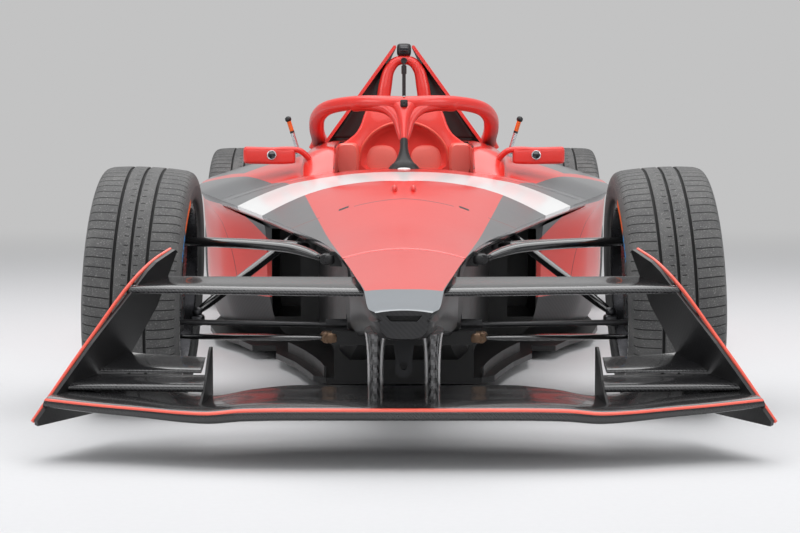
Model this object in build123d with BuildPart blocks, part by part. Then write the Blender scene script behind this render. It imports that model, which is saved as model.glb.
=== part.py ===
"""Open wheel racing car, full size, in millimetres.

+Z is up, the ground is z = 0, the nose points along -Y and +X is the car's left hand side.
The origin is on the ground, on the centre plane, half way along the overall length.
"""

import os
from math import cos, radians, sin

from build123d import *

# ---------------------------------------------------------------- driving dimensions
overall_length = 5016
front_overhang = 985
wheelbase = 2970
overall_width = 1700

front_tyre_diameter = 650
front_tyre_width = 255
rear_tyre_diameter = 680
rear_tyre_width = 305
rim_diameter = 457
front_camber = 3.0
rear_camber = 1.5

ground_clearance = 30
floor_thickness = 18
seat_gap = 0.3
steer_limit = 20

# ---------------------------------------------------------------- places along the car
nose_y = -overall_length / 2
front_axle_y = nose_y + front_overhang
rear_axle_y = front_axle_y + wheelbase

bulkhead_y = front_axle_y - 350
pod_front_y = front_axle_y + 1150
tub_rear_y = front_axle_y + 1900
pod_rear_y = rear_axle_y - 385

tub_bottom_z = ground_clearance + floor_thickness
cell_half_width = 345

os.makedirs("parts", exist_ok=True)


def section_plane(y):
    """Upright plane across the car at y, with local x along X and local y along Z."""
    return Plane(origin=(0, y, 0), x_dir=(1, 0, 0), z_dir=(0, -1, 0))


def side_plane(x):
    """Upright plane along the car at x, with local x along Y and local y along Z."""
    return Plane(origin=(x, 0, 0), x_dir=(0, 1, 0), z_dir=(1, 0, 0))


def both_sides(half):
    """Closed outline from the points of one half, listed from the top centre to the bottom centre."""
    return half + [(-x, z) for x, z in reversed(half) if x > 0]


def loft_across(rows):
    """Adds a straight-sided loft through outlines, each row being (y, points)."""
    outlines = []
    for y, points in rows:
        with BuildSketch(section_plane(y)) as outline:
            Polygon(*points, align=None)
        outlines.append(outline.sketch)
    loft(sections=outlines, ruled=True)


def box_between(low, high, mode=Mode.ADD):
    """Adds or cuts the box between two corners."""
    size = [b - a for a, b in zip(low, high)]
    with Locations([((low[0] + high[0]) / 2, (low[1] + high[1]) / 2, (low[2] + high[2]) / 2)]):
        Box(*size, mode=mode)


def add_strut(start, end, chord, thickness):
    """Adds a straight oval bar from start to end, chord wide when seen from above."""
    run = Vector(*end) - Vector(*start)
    across = Vector(0, 0, 1).cross(run).normalized()
    with BuildSketch(Plane(origin=start, x_dir=across, z_dir=run)) as bar:
        Ellipse(chord / 2, thickness / 2)
    extrude(bar.sketch, amount=run.length)


def mirrored(part):
    """The same piece on the other side of the centre plane."""
    with BuildPart() as other:
        add(mirror(part, about=Plane.YZ))
    return other.part


def largest(part):
    """The biggest solid of a piece whose offcuts fall away."""
    return part.solids().sort_by(lambda solid: -solid.volume)[0]


def pair_of(part):
    """A left piece together with its mirror image."""
    with BuildPart() as pair:
        add(part)
        add(mirrored(part))
    return pair.part


def keep(part, name):
    """Labels a finished piece and writes its file."""
    part.label = name
    export_step(part, f"parts/{name}.step")


# ---------------------------------------------------------------- nose and survival cell
nose_tip_y = nose_y + 10
crease_lip = 14
wing_root_depth = 66
# y, half width at the crease, top z at the centre, crease z, half width of the flank, bottom z
nose_rows = [
    (nose_tip_y, 62, 358, 352, 56, 292),
    (nose_y + 40, 78, 363, 356, 66, 288),
    (front_axle_y - 800, 92, 391, 384, 80, 278),
    (front_axle_y - 620, 116, 416, 402, 100, 268),
    (bulkhead_y, 155, 450, 426, 140, 236),
]
cell_rows = [
    (bulkhead_y, 155, 450, 426, 140, 236),
    (front_axle_y - 200, 182, 470, 438, 152, 215),
    (front_axle_y, 228, 497, 450, 164, 158),
    (front_axle_y + 220, 296, 534, 463, 192, 92),
    (front_axle_y + 420, 357, 568, 474, 208, tub_bottom_z),
    (front_axle_y + 650, 434, 603, 489, 224, tub_bottom_z),
    (front_axle_y + 900, 528, 622, 507, 250, tub_bottom_z),
    (pod_front_y, 620, 632, 522, 290, tub_bottom_z),
]


def body_outline(half_width, top_z, crease_z, flank, bottom_z):
    """Crowned top down to the crease, a thin lip, the shadowed underside, the flank and the keel."""
    crown = top_z - crease_z
    lip_in = min(10, 0.12 * half_width)
    root_z = max(crease_z - wing_root_depth, bottom_z + 40)
    return both_sides([
        (0, top_z),
        (half_width * 0.5, top_z - 0.27 * crown),
        (half_width, crease_z),
        (half_width - lip_in, crease_z - crease_lip),
        (flank, root_z),
        (flank - 4, bottom_z + 30),
        (flank - 34, bottom_z),
        (0, bottom_z),
    ])


# Slot in the nose's front face: half width above, half width below, top z, bottom z.
nose_slot = (40, 29, 345, 332)
with BuildPart() as nose_cone:
    loft_across([(y, body_outline(*sizes)) for y, *sizes in nose_rows])
    with BuildSketch(section_plane(nose_tip_y)):
        Polygon((-nose_slot[0], nose_slot[2]), (nose_slot[0], nose_slot[2]),
                (nose_slot[1], nose_slot[3]), (-nose_slot[1], nose_slot[3]), align=None)
    extrude(amount=-60, mode=Mode.SUBTRACT)
keep(nose_cone.part, "nose_cone")

deck_z = 588
rim_z = 700
rim_rise = 130
cockpit_front_y = front_axle_y + 1085
cockpit_rear_y = front_axle_y + 1740
cockpit_half_width = 235
cockpit_floor_z = tub_bottom_z + 50
footwell_front_y = front_axle_y + 330
footwell_half_width = 150
footwell_top_z = 430

# Front suspension: y from the axle and outer face x of each bracket, then the height of its pivot.
bush_radius = 14
bracket_length = 46
bracket_height = 36
front_lower_mounts = [(-165, 190, 205), (215, 212, 165)]
front_upper_mounts = [(-150, 196, 412), (225, 262, 426)]
rack_offset = -105
rack_y = front_axle_y + rack_offset
rack_z = 232
rack_slot = 56
rack_radius = 16
rack_bush = 16.3
rack_bush_half = 130

column_tilt = 16
column_radius = 17
column_bush = 17.3
column_length = 300
wheel_y = front_axle_y + 1300
wheel_z = 590
column_up = Vector(0, cos(radians(column_tilt)), sin(radians(column_tilt)))

cell_top = [
    (pod_front_y, 632, 628, deck_z),
    (pod_front_y + rim_rise, rim_z, rim_z, 664),
    (tub_rear_y, rim_z + 20, rim_z + 20, 692),
]
with BuildPart() as survival_cell:
    loft_across([(y, body_outline(*sizes)) for y, *sizes in cell_rows])
    loft_across([
        (y, both_sides([(0, centre_z), (260, shoulder_z), (cell_half_width, edge_z),
                        (cell_half_width, tub_bottom_z), (0, tub_bottom_z)]))
        for y, centre_z, shoulder_z, edge_z in cell_top
    ])
    box_between((-cockpit_half_width, cockpit_front_y, cockpit_floor_z),
                (cockpit_half_width, cockpit_rear_y, 1000), Mode.SUBTRACT)
    box_between((-footwell_half_width, footwell_front_y, cockpit_floor_z),
                (footwell_half_width, cockpit_front_y + 1, footwell_top_z), Mode.SUBTRACT)
    for offset, face_x, z in front_lower_mounts + front_upper_mounts:
        box_between((-face_x, front_axle_y + offset - bracket_length / 2, z - bracket_height / 2),
                    (face_x, front_axle_y + offset + bracket_length / 2, z + bracket_height / 2))
    for side in (-1, 1):
        ends = sorted((side * rack_bush_half, side * 400))
        box_between((ends[0], rack_y - rack_slot / 2, rack_z - rack_slot / 2),
                    (ends[1], rack_y + rack_slot / 2, rack_z + rack_slot / 2),
                    Mode.SUBTRACT)
    with BuildSketch(Plane(origin=(-400, rack_y, rack_z), z_dir=(1, 0, 0))) as bush:
        Circle(rack_bush)
    extrude(bush.sketch, amount=800, mode=Mode.SUBTRACT)
    # Bore for the steering column, through the cockpit's front wall.
    with BuildSketch(Plane(origin=(0, wheel_y, wheel_z), z_dir=(0, -column_up.Y, -column_up.Z))) as bore:
        Circle(column_bush)
    extrude(bore.sketch, amount=column_length + 8, mode=Mode.SUBTRACT)
keep(survival_cell.part, "survival_cell")

# ---------------------------------------------------------------- side pods
pod_lift_z = 110
# y, z at the cell, crease half width, crease z, half width of the belt, half width at the bottom
pod_rows = [
    (pod_front_y, deck_z, 620, 522, 462, 432),
    (pod_front_y + 200, 646, 708, 546, 640, 600),
    (pod_front_y + 450, 668, 738, 563, 712, 680),
    (tub_rear_y + 100, 680, 742, 578, 725, 690),
    (rear_axle_y - 620, 668, 650, 590, 630, 595),
    (pod_rear_y, 648, 515, 596, 500, 470),
]
inlet_wall = 16
inlet_depth = 380
inlet_low_z = 126
inlet_top_z = 424
with BuildPart() as side_pod_left:
    loft_across([
        (y, [(cell_half_width, cell_z), (crease_x, crease_z), (crease_x - 12, crease_z - 24),
             (belt_x, 440), (belt_x, 250), (bottom_x, pod_lift_z), (bottom_x - 50, tub_bottom_z),
             (cell_half_width, tub_bottom_z)])
        for y, cell_z, crease_x, crease_z, belt_x, bottom_x in pod_rows
    ])
    box_between((cell_half_width - 1, pod_front_y - 1, inlet_low_z),
                (pod_rows[0][4] - inlet_wall, pod_front_y + inlet_depth, inlet_top_z), Mode.SUBTRACT)
keep(side_pod_left.part, "side_pod_left")
keep(mirrored(side_pod_left.part), "side_pod_right")

# ---------------------------------------------------------------- battery, drive unit and rear cover
cover_bottom_z = 420
with BuildPart() as battery_block:
    box_between((-cell_half_width, tub_rear_y, tub_bottom_z), (cell_half_width, pod_rear_y, cover_bottom_z))
keep(battery_block.part, "battery_block")

drive_half_width = 150
drive_bottom_z = 130
drive_end_y = rear_axle_y + 350
drive_bracket_x = 165
rear_lower_mounts = [(-230, drive_bracket_x, 205), (190, drive_bracket_x, 205)]
rear_upper_mounts = [(-200, drive_bracket_x, 392), (170, drive_bracket_x, 392)]
drive_shaft_radius = 15
with BuildPart() as drive_unit:
    box_between((-drive_half_width, pod_rear_y, drive_bottom_z),
                (drive_half_width, drive_end_y, cover_bottom_z))
    for offset, face_x, z in rear_lower_mounts + rear_upper_mounts:
        box_between((-face_x, rear_axle_y + offset - bracket_length / 2, z - bracket_height / 2),
                    (face_x, rear_axle_y + offset + bracket_length / 2, z + bracket_height / 2))
cover_end_y = rear_axle_y + 620
# y, centre z, shoulder x, shoulder z, side x, side z, bottom half width
cover_rows = [
    (tub_rear_y, rim_z + 20, 260, rim_z + 20, cell_half_width, 692, cell_half_width),
    (pod_rear_y, 672, 190, 668, cell_half_width, 645, cell_half_width),
    (rear_axle_y - 100, 632, 110, 622, 232, 560, 215),
    (cover_end_y, 540, 34, 534, 84, 470, 78),
]
with BuildPart() as rear_cover:
    loft_across([
        (y, both_sides([(0, centre_z), (shoulder_x, shoulder_z), (side_x, side_z),
                        (bottom_x, cover_bottom_z), (0, cover_bottom_z)]))
        for y, centre_z, shoulder_x, shoulder_z, side_x, side_z, bottom_x in cover_rows
    ])
keep(rear_cover.part, "rear_cover")

# ---------------------------------------------------------------- tyres and rims
tyre_bead = rim_diameter / 2
rim_wall = 9
hub_bore = 30.3
spindle_radius = 30


def tyre_profile(radius, width):
    """Half section of a tyre as (radius, offset) from one bead over the tread to the other."""
    half = width / 2
    outer = [(tyre_bead, half - 14), (tyre_bead + 34, half), (radius - 26, half), (radius - 7, half - 13),
             (radius, half - 44)]
    return outer + [(r, -offset) for r, offset in reversed(outer)]


def rest_height(radius, width, camber):
    """Height of a leaning wheel's centre that puts its lowest tread edge on the ground."""
    lean = radians(camber)
    return max(r * cos(lean) - offset * sin(lean) for r, offset in tyre_profile(radius, width))


class Corner:
    """One wheel's frame: its centre, the leaning up direction and the axle direction pointing outward."""

    def __init__(self, side, y, diameter, width, camber):
        lean = radians(camber)
        self.side = side
        self.radius = diameter / 2
        self.width = width
        height = rest_height(diameter / 2, width, camber)
        # The tyre's outermost shoulder is what sets the overall width.
        reach = max(offset * cos(lean) + r * sin(lean) for r, offset in tyre_profile(diameter / 2, width))
        self.centre = Vector(side * (overall_width / 2 - reach), y, height)
        self.up = Vector(-side * sin(lean), 0, cos(lean))
        self.axle = Vector(side * cos(lean), 0, sin(lean))

    def at(self, outward, back, up):
        """Point given by its offsets along the axle, backward and along the leaning up direction."""
        return self.centre + self.axle * outward + Vector(0, back, 0) + self.up * up

    def turned(self, profile):
        """Ring turned about the axle from (radius, offset) points."""
        with BuildPart() as ring:
            with BuildSketch(Plane(origin=self.centre, x_dir=self.up, z_dir=(0, self.side, 0))) as section:
                Polygon(*profile, align=None)
            revolve(section.sketch, axis=Axis(self.centre, self.axle))
        return ring.part

    def disc(self, radius, start, end, mode=Mode.ADD):
        """Round bar along the axle between two offsets."""
        with BuildSketch(Plane(origin=self.at(start, 0, 0), z_dir=self.axle)) as circle:
            Circle(radius)
        extrude(circle.sketch, amount=end - start, mode=mode)

    def post(self, radius, outward, back, start, end, mode=Mode.ADD):
        """Round bar along the leaning up direction, at offsets along the axle and backward."""
        with BuildSketch(Plane(origin=self.at(outward, back, start), z_dir=self.up)) as circle:
            Circle(radius)
        extrude(circle.sketch, amount=end - start, mode=mode)

    def block(self, low, high, mode=Mode.ADD):
        """Box between two corners, each given as (outward, back, up)."""
        middle = [(a + b) / 2 for a, b in zip(low, high)]
        frame = Plane(origin=self.at(*middle), x_dir=self.axle, z_dir=self.up)
        with Locations(frame.location):
            Box(*[b - a for a, b in zip(low, high)], mode=mode)


# side, axle y, tyre diameter, tyre width, camber of each wheel
corners = {
    "front_left": Corner(1, front_axle_y, front_tyre_diameter, front_tyre_width, front_camber),
    "front_right": Corner(-1, front_axle_y, front_tyre_diameter, front_tyre_width, front_camber),
    "rear_left": Corner(1, rear_axle_y, rear_tyre_diameter, rear_tyre_width, rear_camber),
    "rear_right": Corner(-1, rear_axle_y, rear_tyre_diameter, rear_tyre_width, rear_camber),
}

web_offset = 36
web_thickness = 12
hub_flange = 70
nut_radius = 33


def tyre(corner):
    """Tyre with its wall thickness and an open middle for the rim."""
    inner = [(tyre_bead + seat_gap, corner.width / 2 - 14), (tyre_bead + seat_gap, 14 - corner.width / 2)]
    outer = tyre_profile(corner.radius, corner.width)
    return corner.turned(outer + [(r, offset) for r, offset in reversed(inner)])


def rim(corner):
    """Barrel with flanges, a web near the outside and a hub bored for the spindle."""
    half = corner.width / 2 - 15
    inside = tyre_bead - rim_wall
    return corner.turned([
        (tyre_bead, half), (tyre_bead, -half), (inside, -half), (inside, web_offset),
        (hub_flange, web_offset), (hub_flange, web_offset - 40), (hub_bore, web_offset - 40),
        (hub_bore, web_offset + web_thickness), (hub_flange, web_offset + web_thickness),
        (inside, web_offset + web_thickness + 22), (inside, half),
    ])


for place, corner in corners.items():
    keep(tyre(corner), f"tyre_{place}")
    keep(rim(corner), f"rim_{place}")

# ---------------------------------------------------------------- front uprights and arms
kingpin_offset = -80
kingpin_radius = 8
eye_bore = 8.3
eye_radius = 17
eye_height = 22
upper_eye = 128
lower_eye = -135
block_top = 114
block_low = -121
rod_pin_up = -108


def front_upright(corner):
    """Kingpin block with its pins, the spindle for the wheel and the steering arm's pin."""
    with BuildPart() as upright:
        corner.block((kingpin_offset - 24, -32, block_low), (kingpin_offset + 24, 32, block_top))
        corner.post(kingpin_radius, kingpin_offset, 0, block_low - 30, block_top + 30)
        corner.disc(48, kingpin_offset, -20)
        corner.disc(spindle_radius, -20.5, web_offset + web_thickness + 4)
        corner.disc(nut_radius, web_offset + web_thickness + 2, web_offset + web_thickness + 26)
        corner.block((kingpin_offset - 24, rack_offset - 12, rod_pin_up - 10),
                     (kingpin_offset + 4, -20, rod_pin_up + 10))
        corner.post(kingpin_radius, kingpin_offset, rack_offset, rod_pin_up, rod_pin_up + 40)
    return upright.part


def arm_pair(corner, mounts, eye_up, chord, thickness):
    """Wishbone: two flat bars from their bushes at the chassis to one eye on the kingpin."""
    side = corner.side
    tip = corner.at(kingpin_offset, 0, eye_up)
    with BuildPart() as arm:
        corner.post(eye_radius, kingpin_offset, 0, eye_up - eye_height / 2, eye_up + eye_height / 2)
        for offset, face_x, z in mounts:
            root = Vector(side * (face_x + bush_radius + seat_gap), corner.centre.Y + offset, z)
            with BuildSketch(Plane(origin=root - Vector(0, bracket_length / 2, 0), z_dir=(0, 1, 0))) as bush:
                Circle(bush_radius)
            extrude(bush.sketch, amount=bracket_length)
            add_strut(root, tip, chord, thickness)
        corner.post(eye_bore, kingpin_offset, 0, eye_up - 40, eye_up + 40, Mode.SUBTRACT)
        add(survival_cell.part, mode=Mode.SUBTRACT)
    return largest(arm.part)


wishbones = {
    "front_upper": (front_upper_mounts, upper_eye, 62, 18),
    "front_lower": (front_lower_mounts, lower_eye, 54, 17),
}
for place in ("front_left", "front_right"):
    corner = corners[place]
    keep(front_upright(corner), f"upright_{place}")
front_arms = {}
for name, (mounts, eye_up, chord, thickness) in wishbones.items():
    left = arm_pair(corners["front_left"], mounts, eye_up, chord, thickness)
    front_arms[name] = left
    with BuildPart() as pair:
        add(left)
        add(mirrored(left))
    keep(pair.part, f"{name}_arms")

# ---------------------------------------------------------------- steering rack and wheel
rod_chord = 34
rod_thickness = 15
rod_bore = 9
rod_eye_low = rod_pin_up + 14
rod_eye_height = 18
# The rod ends are slotted by the distance the steering arm's pin swings back at full lock.
rod_slot = abs(rack_offset) * (1 - cos(radians(steer_limit))) + 1

with BuildPart() as steering_rack:
    with BuildSketch(Plane(origin=(-210, rack_y, rack_z), z_dir=(1, 0, 0))) as bar:
        Circle(rack_radius)
    extrude(bar.sketch, amount=420)
    for place in ("front_left", "front_right"):
        corner = corners[place]
        eye = corner.at(kingpin_offset, rack_offset, rod_eye_low + rod_eye_height / 2)
        add_strut((corner.side * 196, rack_y, rack_z), eye, rod_chord, rod_thickness)
        for back in (0, rod_slot):
            corner.post(eye_radius, kingpin_offset, rack_offset + back, rod_eye_low, rod_eye_low + rod_eye_height)
        for back in (0, rod_slot):
            corner.post(rod_bore, kingpin_offset, rack_offset + back, rod_eye_low - 30, rod_eye_low + 60,
                        Mode.SUBTRACT)
        corner.block((kingpin_offset - rod_bore, rack_offset, rod_eye_low - 30),
                     (kingpin_offset + rod_bore, rack_offset + rod_slot, rod_eye_low + 60), Mode.SUBTRACT)
keep(steering_rack.part, "steering_rack")

wheel_plane = Plane(origin=(0, wheel_y, wheel_z), x_dir=(1, 0, 0), z_dir=(0, column_up.Y, column_up.Z))
with BuildPart() as steering_wheel:
    with BuildSketch(wheel_plane) as yoke:
        RectangleRounded(280, 130, 40)
        with Locations((-103, 12), (103, 12)):
            RectangleRounded(34, 66, 12, mode=Mode.SUBTRACT)
    extrude(yoke.sketch, amount=-34)
    with BuildSketch(wheel_plane.offset(-33)) as column:
        Circle(column_radius)
    extrude(column.sketch, amount=33 - column_length)
keep(steering_wheel.part, "steering_wheel")

# ---------------------------------------------------------------- rods and the rear corners
rod_radius = 13


def add_rod(start, end, radius=rod_radius):
    """Adds a straight round bar between two points."""
    run = Vector(*end) - Vector(*start)
    with BuildSketch(Plane(origin=start, z_dir=run)) as circle:
        Circle(radius)
    extrude(circle.sketch, amount=run.length)


with BuildPart() as front_pushrod:
    push_foot = corners["front_left"].at(kingpin_offset - 56, 68, lower_eye + 62)
    add_rod(push_foot, (300, front_axle_y + 420, 457))
    with Locations(push_foot):
        Sphere(rod_radius + 3)
    corners["front_left"].block((kingpin_offset - 68, 22, lower_eye - 2),
                                (kingpin_offset - 44, 74, lower_eye + 62))
    add(survival_cell.part, mode=Mode.SUBTRACT)
    add(front_arms["front_lower"], mode=Mode.SUBTRACT)
    add(front_arms["front_upper"], mode=Mode.SUBTRACT)
keep(pair_of(largest(front_pushrod.part)), "front_pushrods")

rear_block_in = -112
rear_block_out = -58
rear_bearing = 46
rear_eye_up = 74
rear_eye_low = -128
rear_arm_chord = 58
rear_arm_thickness = 18


def rear_hub(corner):
    """Fixed hub carrier with a bearing bored for the drive shaft."""
    with BuildPart() as hub:
        corner.block((rear_block_in, -48, -150), (rear_block_out, 48, 108))
        corner.disc(82, rear_block_out - 1, -22)
        corner.disc(rear_bearing + seat_gap, rear_block_in - 1, 1, Mode.SUBTRACT)
    return hub.part


def half_shaft(corner):
    """Shaft from the drive unit through the hub carrier to the nut outside the rim."""
    reach = -(corner.side * corner.centre.X - drive_half_width + 16) / abs(corner.axle.X)
    with BuildPart() as shaft:
        corner.disc(30, reach, reach + 70)
        corner.disc(drive_shaft_radius, reach + 69, rear_block_in - 20)
        corner.disc(rear_bearing, rear_block_in - 24, -12)
        corner.disc(spindle_radius, -13, web_offset + web_thickness + 4)
        corner.disc(nut_radius, web_offset + web_thickness + 2, web_offset + web_thickness + 26)
    return shaft.part


def rear_wishbone(corner, mounts, eye_up, chord, thickness):
    """Two flat bars from their bushes at the drive unit to the hub carrier."""
    side = corner.side
    with BuildPart() as arm:
        for offset, face_x, z in mounts:
            root = Vector(side * (face_x + bush_radius + seat_gap), corner.centre.Y + offset, z)
            with BuildSketch(Plane(origin=root - Vector(0, bracket_length / 2, 0), z_dir=(0, 1, 0))) as bush:
                Circle(bush_radius)
            extrude(bush.sketch, amount=bracket_length)
            tip = corner.at(rear_block_in + 10, 18 if offset > 0 else -18, eye_up)
            add_strut(root, tip, chord, thickness)
        add(rear_hub(corner), mode=Mode.SUBTRACT)
    return arm.part


left_rear = corners["rear_left"]
rear_upper = rear_wishbone(left_rear, rear_upper_mounts, rear_eye_up, rear_arm_chord, rear_arm_thickness)
rear_lower = rear_wishbone(left_rear, rear_lower_mounts, rear_eye_low, rear_arm_chord, rear_arm_thickness)
with BuildPart() as rear_arms:
    add(pair_of(rear_upper))
    add(pair_of(rear_lower))
keep(rear_arms.part, "rear_arms")
keep(pair_of(rear_hub(left_rear)), "rear_hubs")
keep(half_shaft(left_rear), "half_shaft_left")
keep(half_shaft(corners["rear_right"]), "half_shaft_right")

with BuildPart() as drive_case:
    add(drive_unit.part)
    for place in ("rear_left", "rear_right"):
        corner = corners[place]
        inner_end = -(corner.side * corner.centre.X - drive_half_width + 16.3) / abs(corner.axle.X)
        corner.disc(30.3, inner_end, inner_end + 60, Mode.SUBTRACT)
keep(drive_case.part, "drive_unit")

# ---------------------------------------------------------------- front wing
# x across the wing, y of the leading edge, z of its top, thickness, y of the trailing edge, z of its top
main_plane_rows = [
    (0, nose_y, 134, 27, front_axle_y - 615, 138),
    (250, nose_y, 134, 27, front_axle_y - 618, 140),
    (355, nose_y + 10, 131, 27, front_axle_y - 640, 134),
    (446, nose_y + 24, 122, 25, front_axle_y - 690, 126),
    (632, nose_y + 80, 128, 20, front_axle_y - 700, 150),
    (775, nose_y + 118, 137, 18, front_axle_y - 705, 158),
]


def plane_section(x, lead_y, lead_z, thickness, trail_y, trail_z):
    """Wing section at x: rounded leading edge, thickest a third back, thin trailing edge."""
    chord = trail_y - lead_y
    slope = (trail_z - lead_z) / chord
    with BuildSketch(side_plane(x)) as section:
        Polygon(
            (lead_y + 0.012 * chord, lead_z - 0.12 * thickness),
            (lead_y + 0.09 * chord, lead_z + slope * 0.09 * chord + 0.05 * thickness),
            (lead_y + 0.45 * chord, lead_z + slope * 0.45 * chord + 0.12 * thickness),
            (trail_y, trail_z),
            (trail_y, trail_z - 3),
            (lead_y + 0.5 * chord, lead_z + slope * 0.5 * chord - 0.62 * thickness),
            (lead_y + 0.14 * chord, lead_z + slope * 0.14 * chord - thickness),
            (lead_y + 0.03 * chord, lead_z - 0.86 * thickness),
            (lead_y, lead_z - 0.5 * thickness),
            align=None,
        )
    return section.sketch


# The endplate's plane: a point of it and the direction square to it, for the left side.
endplate_point = Vector(840, front_axle_y - 860, 80)
endplate_normal = Vector(0.3168, 0.1534, 0.1096).normalized()
endplate_thickness = 9


def endplate_x(y, z):
    """Where the endplate's plane lies at a given y and z, on the left side."""
    n, q = endplate_normal, endplate_point
    return q.X - (n.Y * (y - q.Y) + n.Z * (z - q.Z)) / n.X


# y behind the front axle and z of the endplate's corners, from the low front corner over the top
endplate_corners = [
    (-860, 84), (-868, 96), (-760, 262), (-640, 421), (-618, 440), (-560, 466), (-550, 462),
    (-556, 330), (-600, 214), (-598, 120), (-603, 84),
]
with BuildPart() as endplate:
    corners_3d = [Vector(endplate_x(front_axle_y + y, z), front_axle_y + y, z) for y, z in endplate_corners]
    plate_face = Face(Wire.make_polygon(corners_3d, close=True))
    extrude(plate_face, amount=endplate_thickness, dir=-endplate_normal)
keep(pair_of(endplate.part), "front_endplates")

with BuildPart() as main_half:
    loft(sections=[plane_section(*row) for row in main_plane_rows], ruled=True)
    add(endplate.part, mode=Mode.SUBTRACT)

# x, leading edge y behind the axle, z, thickness, trailing edge y behind the axle, z
first_flap_rows = [(462, -800, 158, 13, -714, 178), (716, -800, 162, 13, -708, 180)]
second_flap_rows = [(488, -706, 184, 11, -602, 200), (716, -700, 186, 11, -602, 214)]
upper_plane_rows = [(100, -690, 372, 17, -556, 402), (660, -680, 382, 17, -556, 402)]


def wing_plane(rows):
    """Plane lofted through section rows given with y behind the front axle."""
    loft(sections=[plane_section(x, front_axle_y + lead, z, thick, front_axle_y + trail, trail_z)
                   for x, lead, z, thick, trail, trail_z in rows], ruled=True)


fence_x = 462
fence_corners = [(-880, 112), (-884, 128), (-760, 168), (-640, 236), (-618, 234), (-616, 112), (-640, 96)]
with BuildPart() as flap_set:
    wing_plane(first_flap_rows)
    wing_plane(second_flap_rows)
    with BuildSketch(side_plane(fence_x)) as fence:
        Polygon(*[(front_axle_y + y, z) for y, z in fence_corners], align=None)
    extrude(fence.sketch, amount=-7)
    for x in (540, 640):
        with BuildSketch(side_plane(x)) as bridge:
            Polygon(*[(front_axle_y + y, z) for y, z in
                      [(-770, 162), (-712, 176), (-690, 184), (-640, 196), (-660, 186), (-712, 166),
                       (-745, 140), (-760, 120), (-780, 120)]], align=None)
        extrude(bridge.sketch, amount=5)
    add(endplate.part, mode=Mode.SUBTRACT)
    add(main_half.part, mode=Mode.SUBTRACT)
flaps_left = largest(flap_set.part)
keep(pair_of(flaps_left), "wing_flaps")

with BuildPart() as upper_half:
    wing_plane(upper_plane_rows)
    add(endplate.part, mode=Mode.SUBTRACT)
    add(nose_cone.part, mode=Mode.SUBTRACT)
keep(pair_of(largest(upper_half.part)), "front_wing_upper")

pylon_in = 40
pylon_out = 90
# y behind the axle and z of the pylon's outline
pylon_corners = [(-930, 296), (-905, 118), (-680, 132), (-720, 296)]
with BuildPart() as pylon:
    with BuildSketch(side_plane(pylon_in)) as outline:
        Polygon(*[(front_axle_y + y, z) for y, z in pylon_corners], align=None)
    extrude(outline.sketch, amount=pylon_out - pylon_in)
    add(nose_cone.part, mode=Mode.SUBTRACT)
with BuildPart() as main_and_pylon:
    add(largest(main_half.part))
    add(pylon.part)
keep(pair_of(main_and_pylon.part), "front_wing_main")

# ---------------------------------------------------------------- halo, headrest and roll hoop
halo_wide = 23
halo_tall = 28
# Centre line of the halo's left side: x, y behind the front axle, z
halo_line = [
    (0, 1172, 846), (90, 1200, 850), (190, 1290, 848), (268, 1400, 834), (306, 1520, 806),
    (318, 1650, 766), (317, 1800, 724), (317, 1850, 702),
]
halo_whole = [(-x, y, z) for x, y, z in reversed(halo_line[1:])] + halo_line
halo_path = [Vector(x, front_axle_y + y, z) for x, y, z in halo_whole]
# The post at the front: y behind the axle, z, half width, half depth
halo_post_rows = [(1058, 592, 34, 46), (1070, 640, 20, 40), (1098, 725, 12, 34), (1150, 815, 12, 30),
                  (1172, 846, 20, 26)]
with BuildPart() as halo:
    rings = []
    for i, point in enumerate(halo_path):
        run = (halo_path[min(i + 1, len(halo_path) - 1)] - halo_path[max(i - 1, 0)]).normalized()
        with BuildSketch(Plane(origin=point, x_dir=Vector(0, 0, 1).cross(run), z_dir=run)) as ring:
            Ellipse(halo_wide, halo_tall)
        rings.append(ring.sketch)
    loft(sections=rings, ruled=True)
    slices = []
    for y, z, half_width, half_depth in halo_post_rows:
        with BuildSketch(Plane(origin=(0, front_axle_y + y, z), x_dir=(1, 0, 0), z_dir=(0, 0, 1))) as slice_:
            Ellipse(half_width, half_depth)
        slices.append(slice_.sketch)
    loft(sections=slices, ruled=True)
    box_between((-55, front_axle_y + 1030, 590), (55, front_axle_y + 1085, deck_z + 52))
    add(survival_cell.part, mode=Mode.SUBTRACT)
keep(halo.part, "halo")

pad_front_y = front_axle_y + 1480
pad_half_width = 234.5
head_half_width = 160
hump_rows = [(230, 700), (199, 724), (170, 757), (144, 830), (120, 852)]
hump_front_y = front_axle_y + 1690
hump_rear_y = front_axle_y + 1815
with BuildPart() as headrest:
    box_between((-pad_half_width, pad_front_y, 590), (pad_half_width, cockpit_rear_y - seat_gap, 712))
    with BuildSketch(section_plane(hump_rear_y)) as hump:
        Polygon(*both_sides([(0, 852)] + list(reversed(hump_rows)) + [(0, 700)]), align=None)
    extrude(hump.sketch, amount=hump_rear_y - hump_front_y)
    with BuildSketch(section_plane(cockpit_rear_y - 12)) as bowl:
        with Locations((0, 640)):
            Ellipse(head_half_width, 142)
        with Locations((0, 500)):
            Rectangle(2 * head_half_width, 280)
    extrude(bowl.sketch, amount=400, mode=Mode.SUBTRACT)
    add(survival_cell.part, mode=Mode.SUBTRACT)
keep(headrest.part, "headrest")

hoop_radius = 21
hoop_y = front_axle_y + 1768
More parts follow.
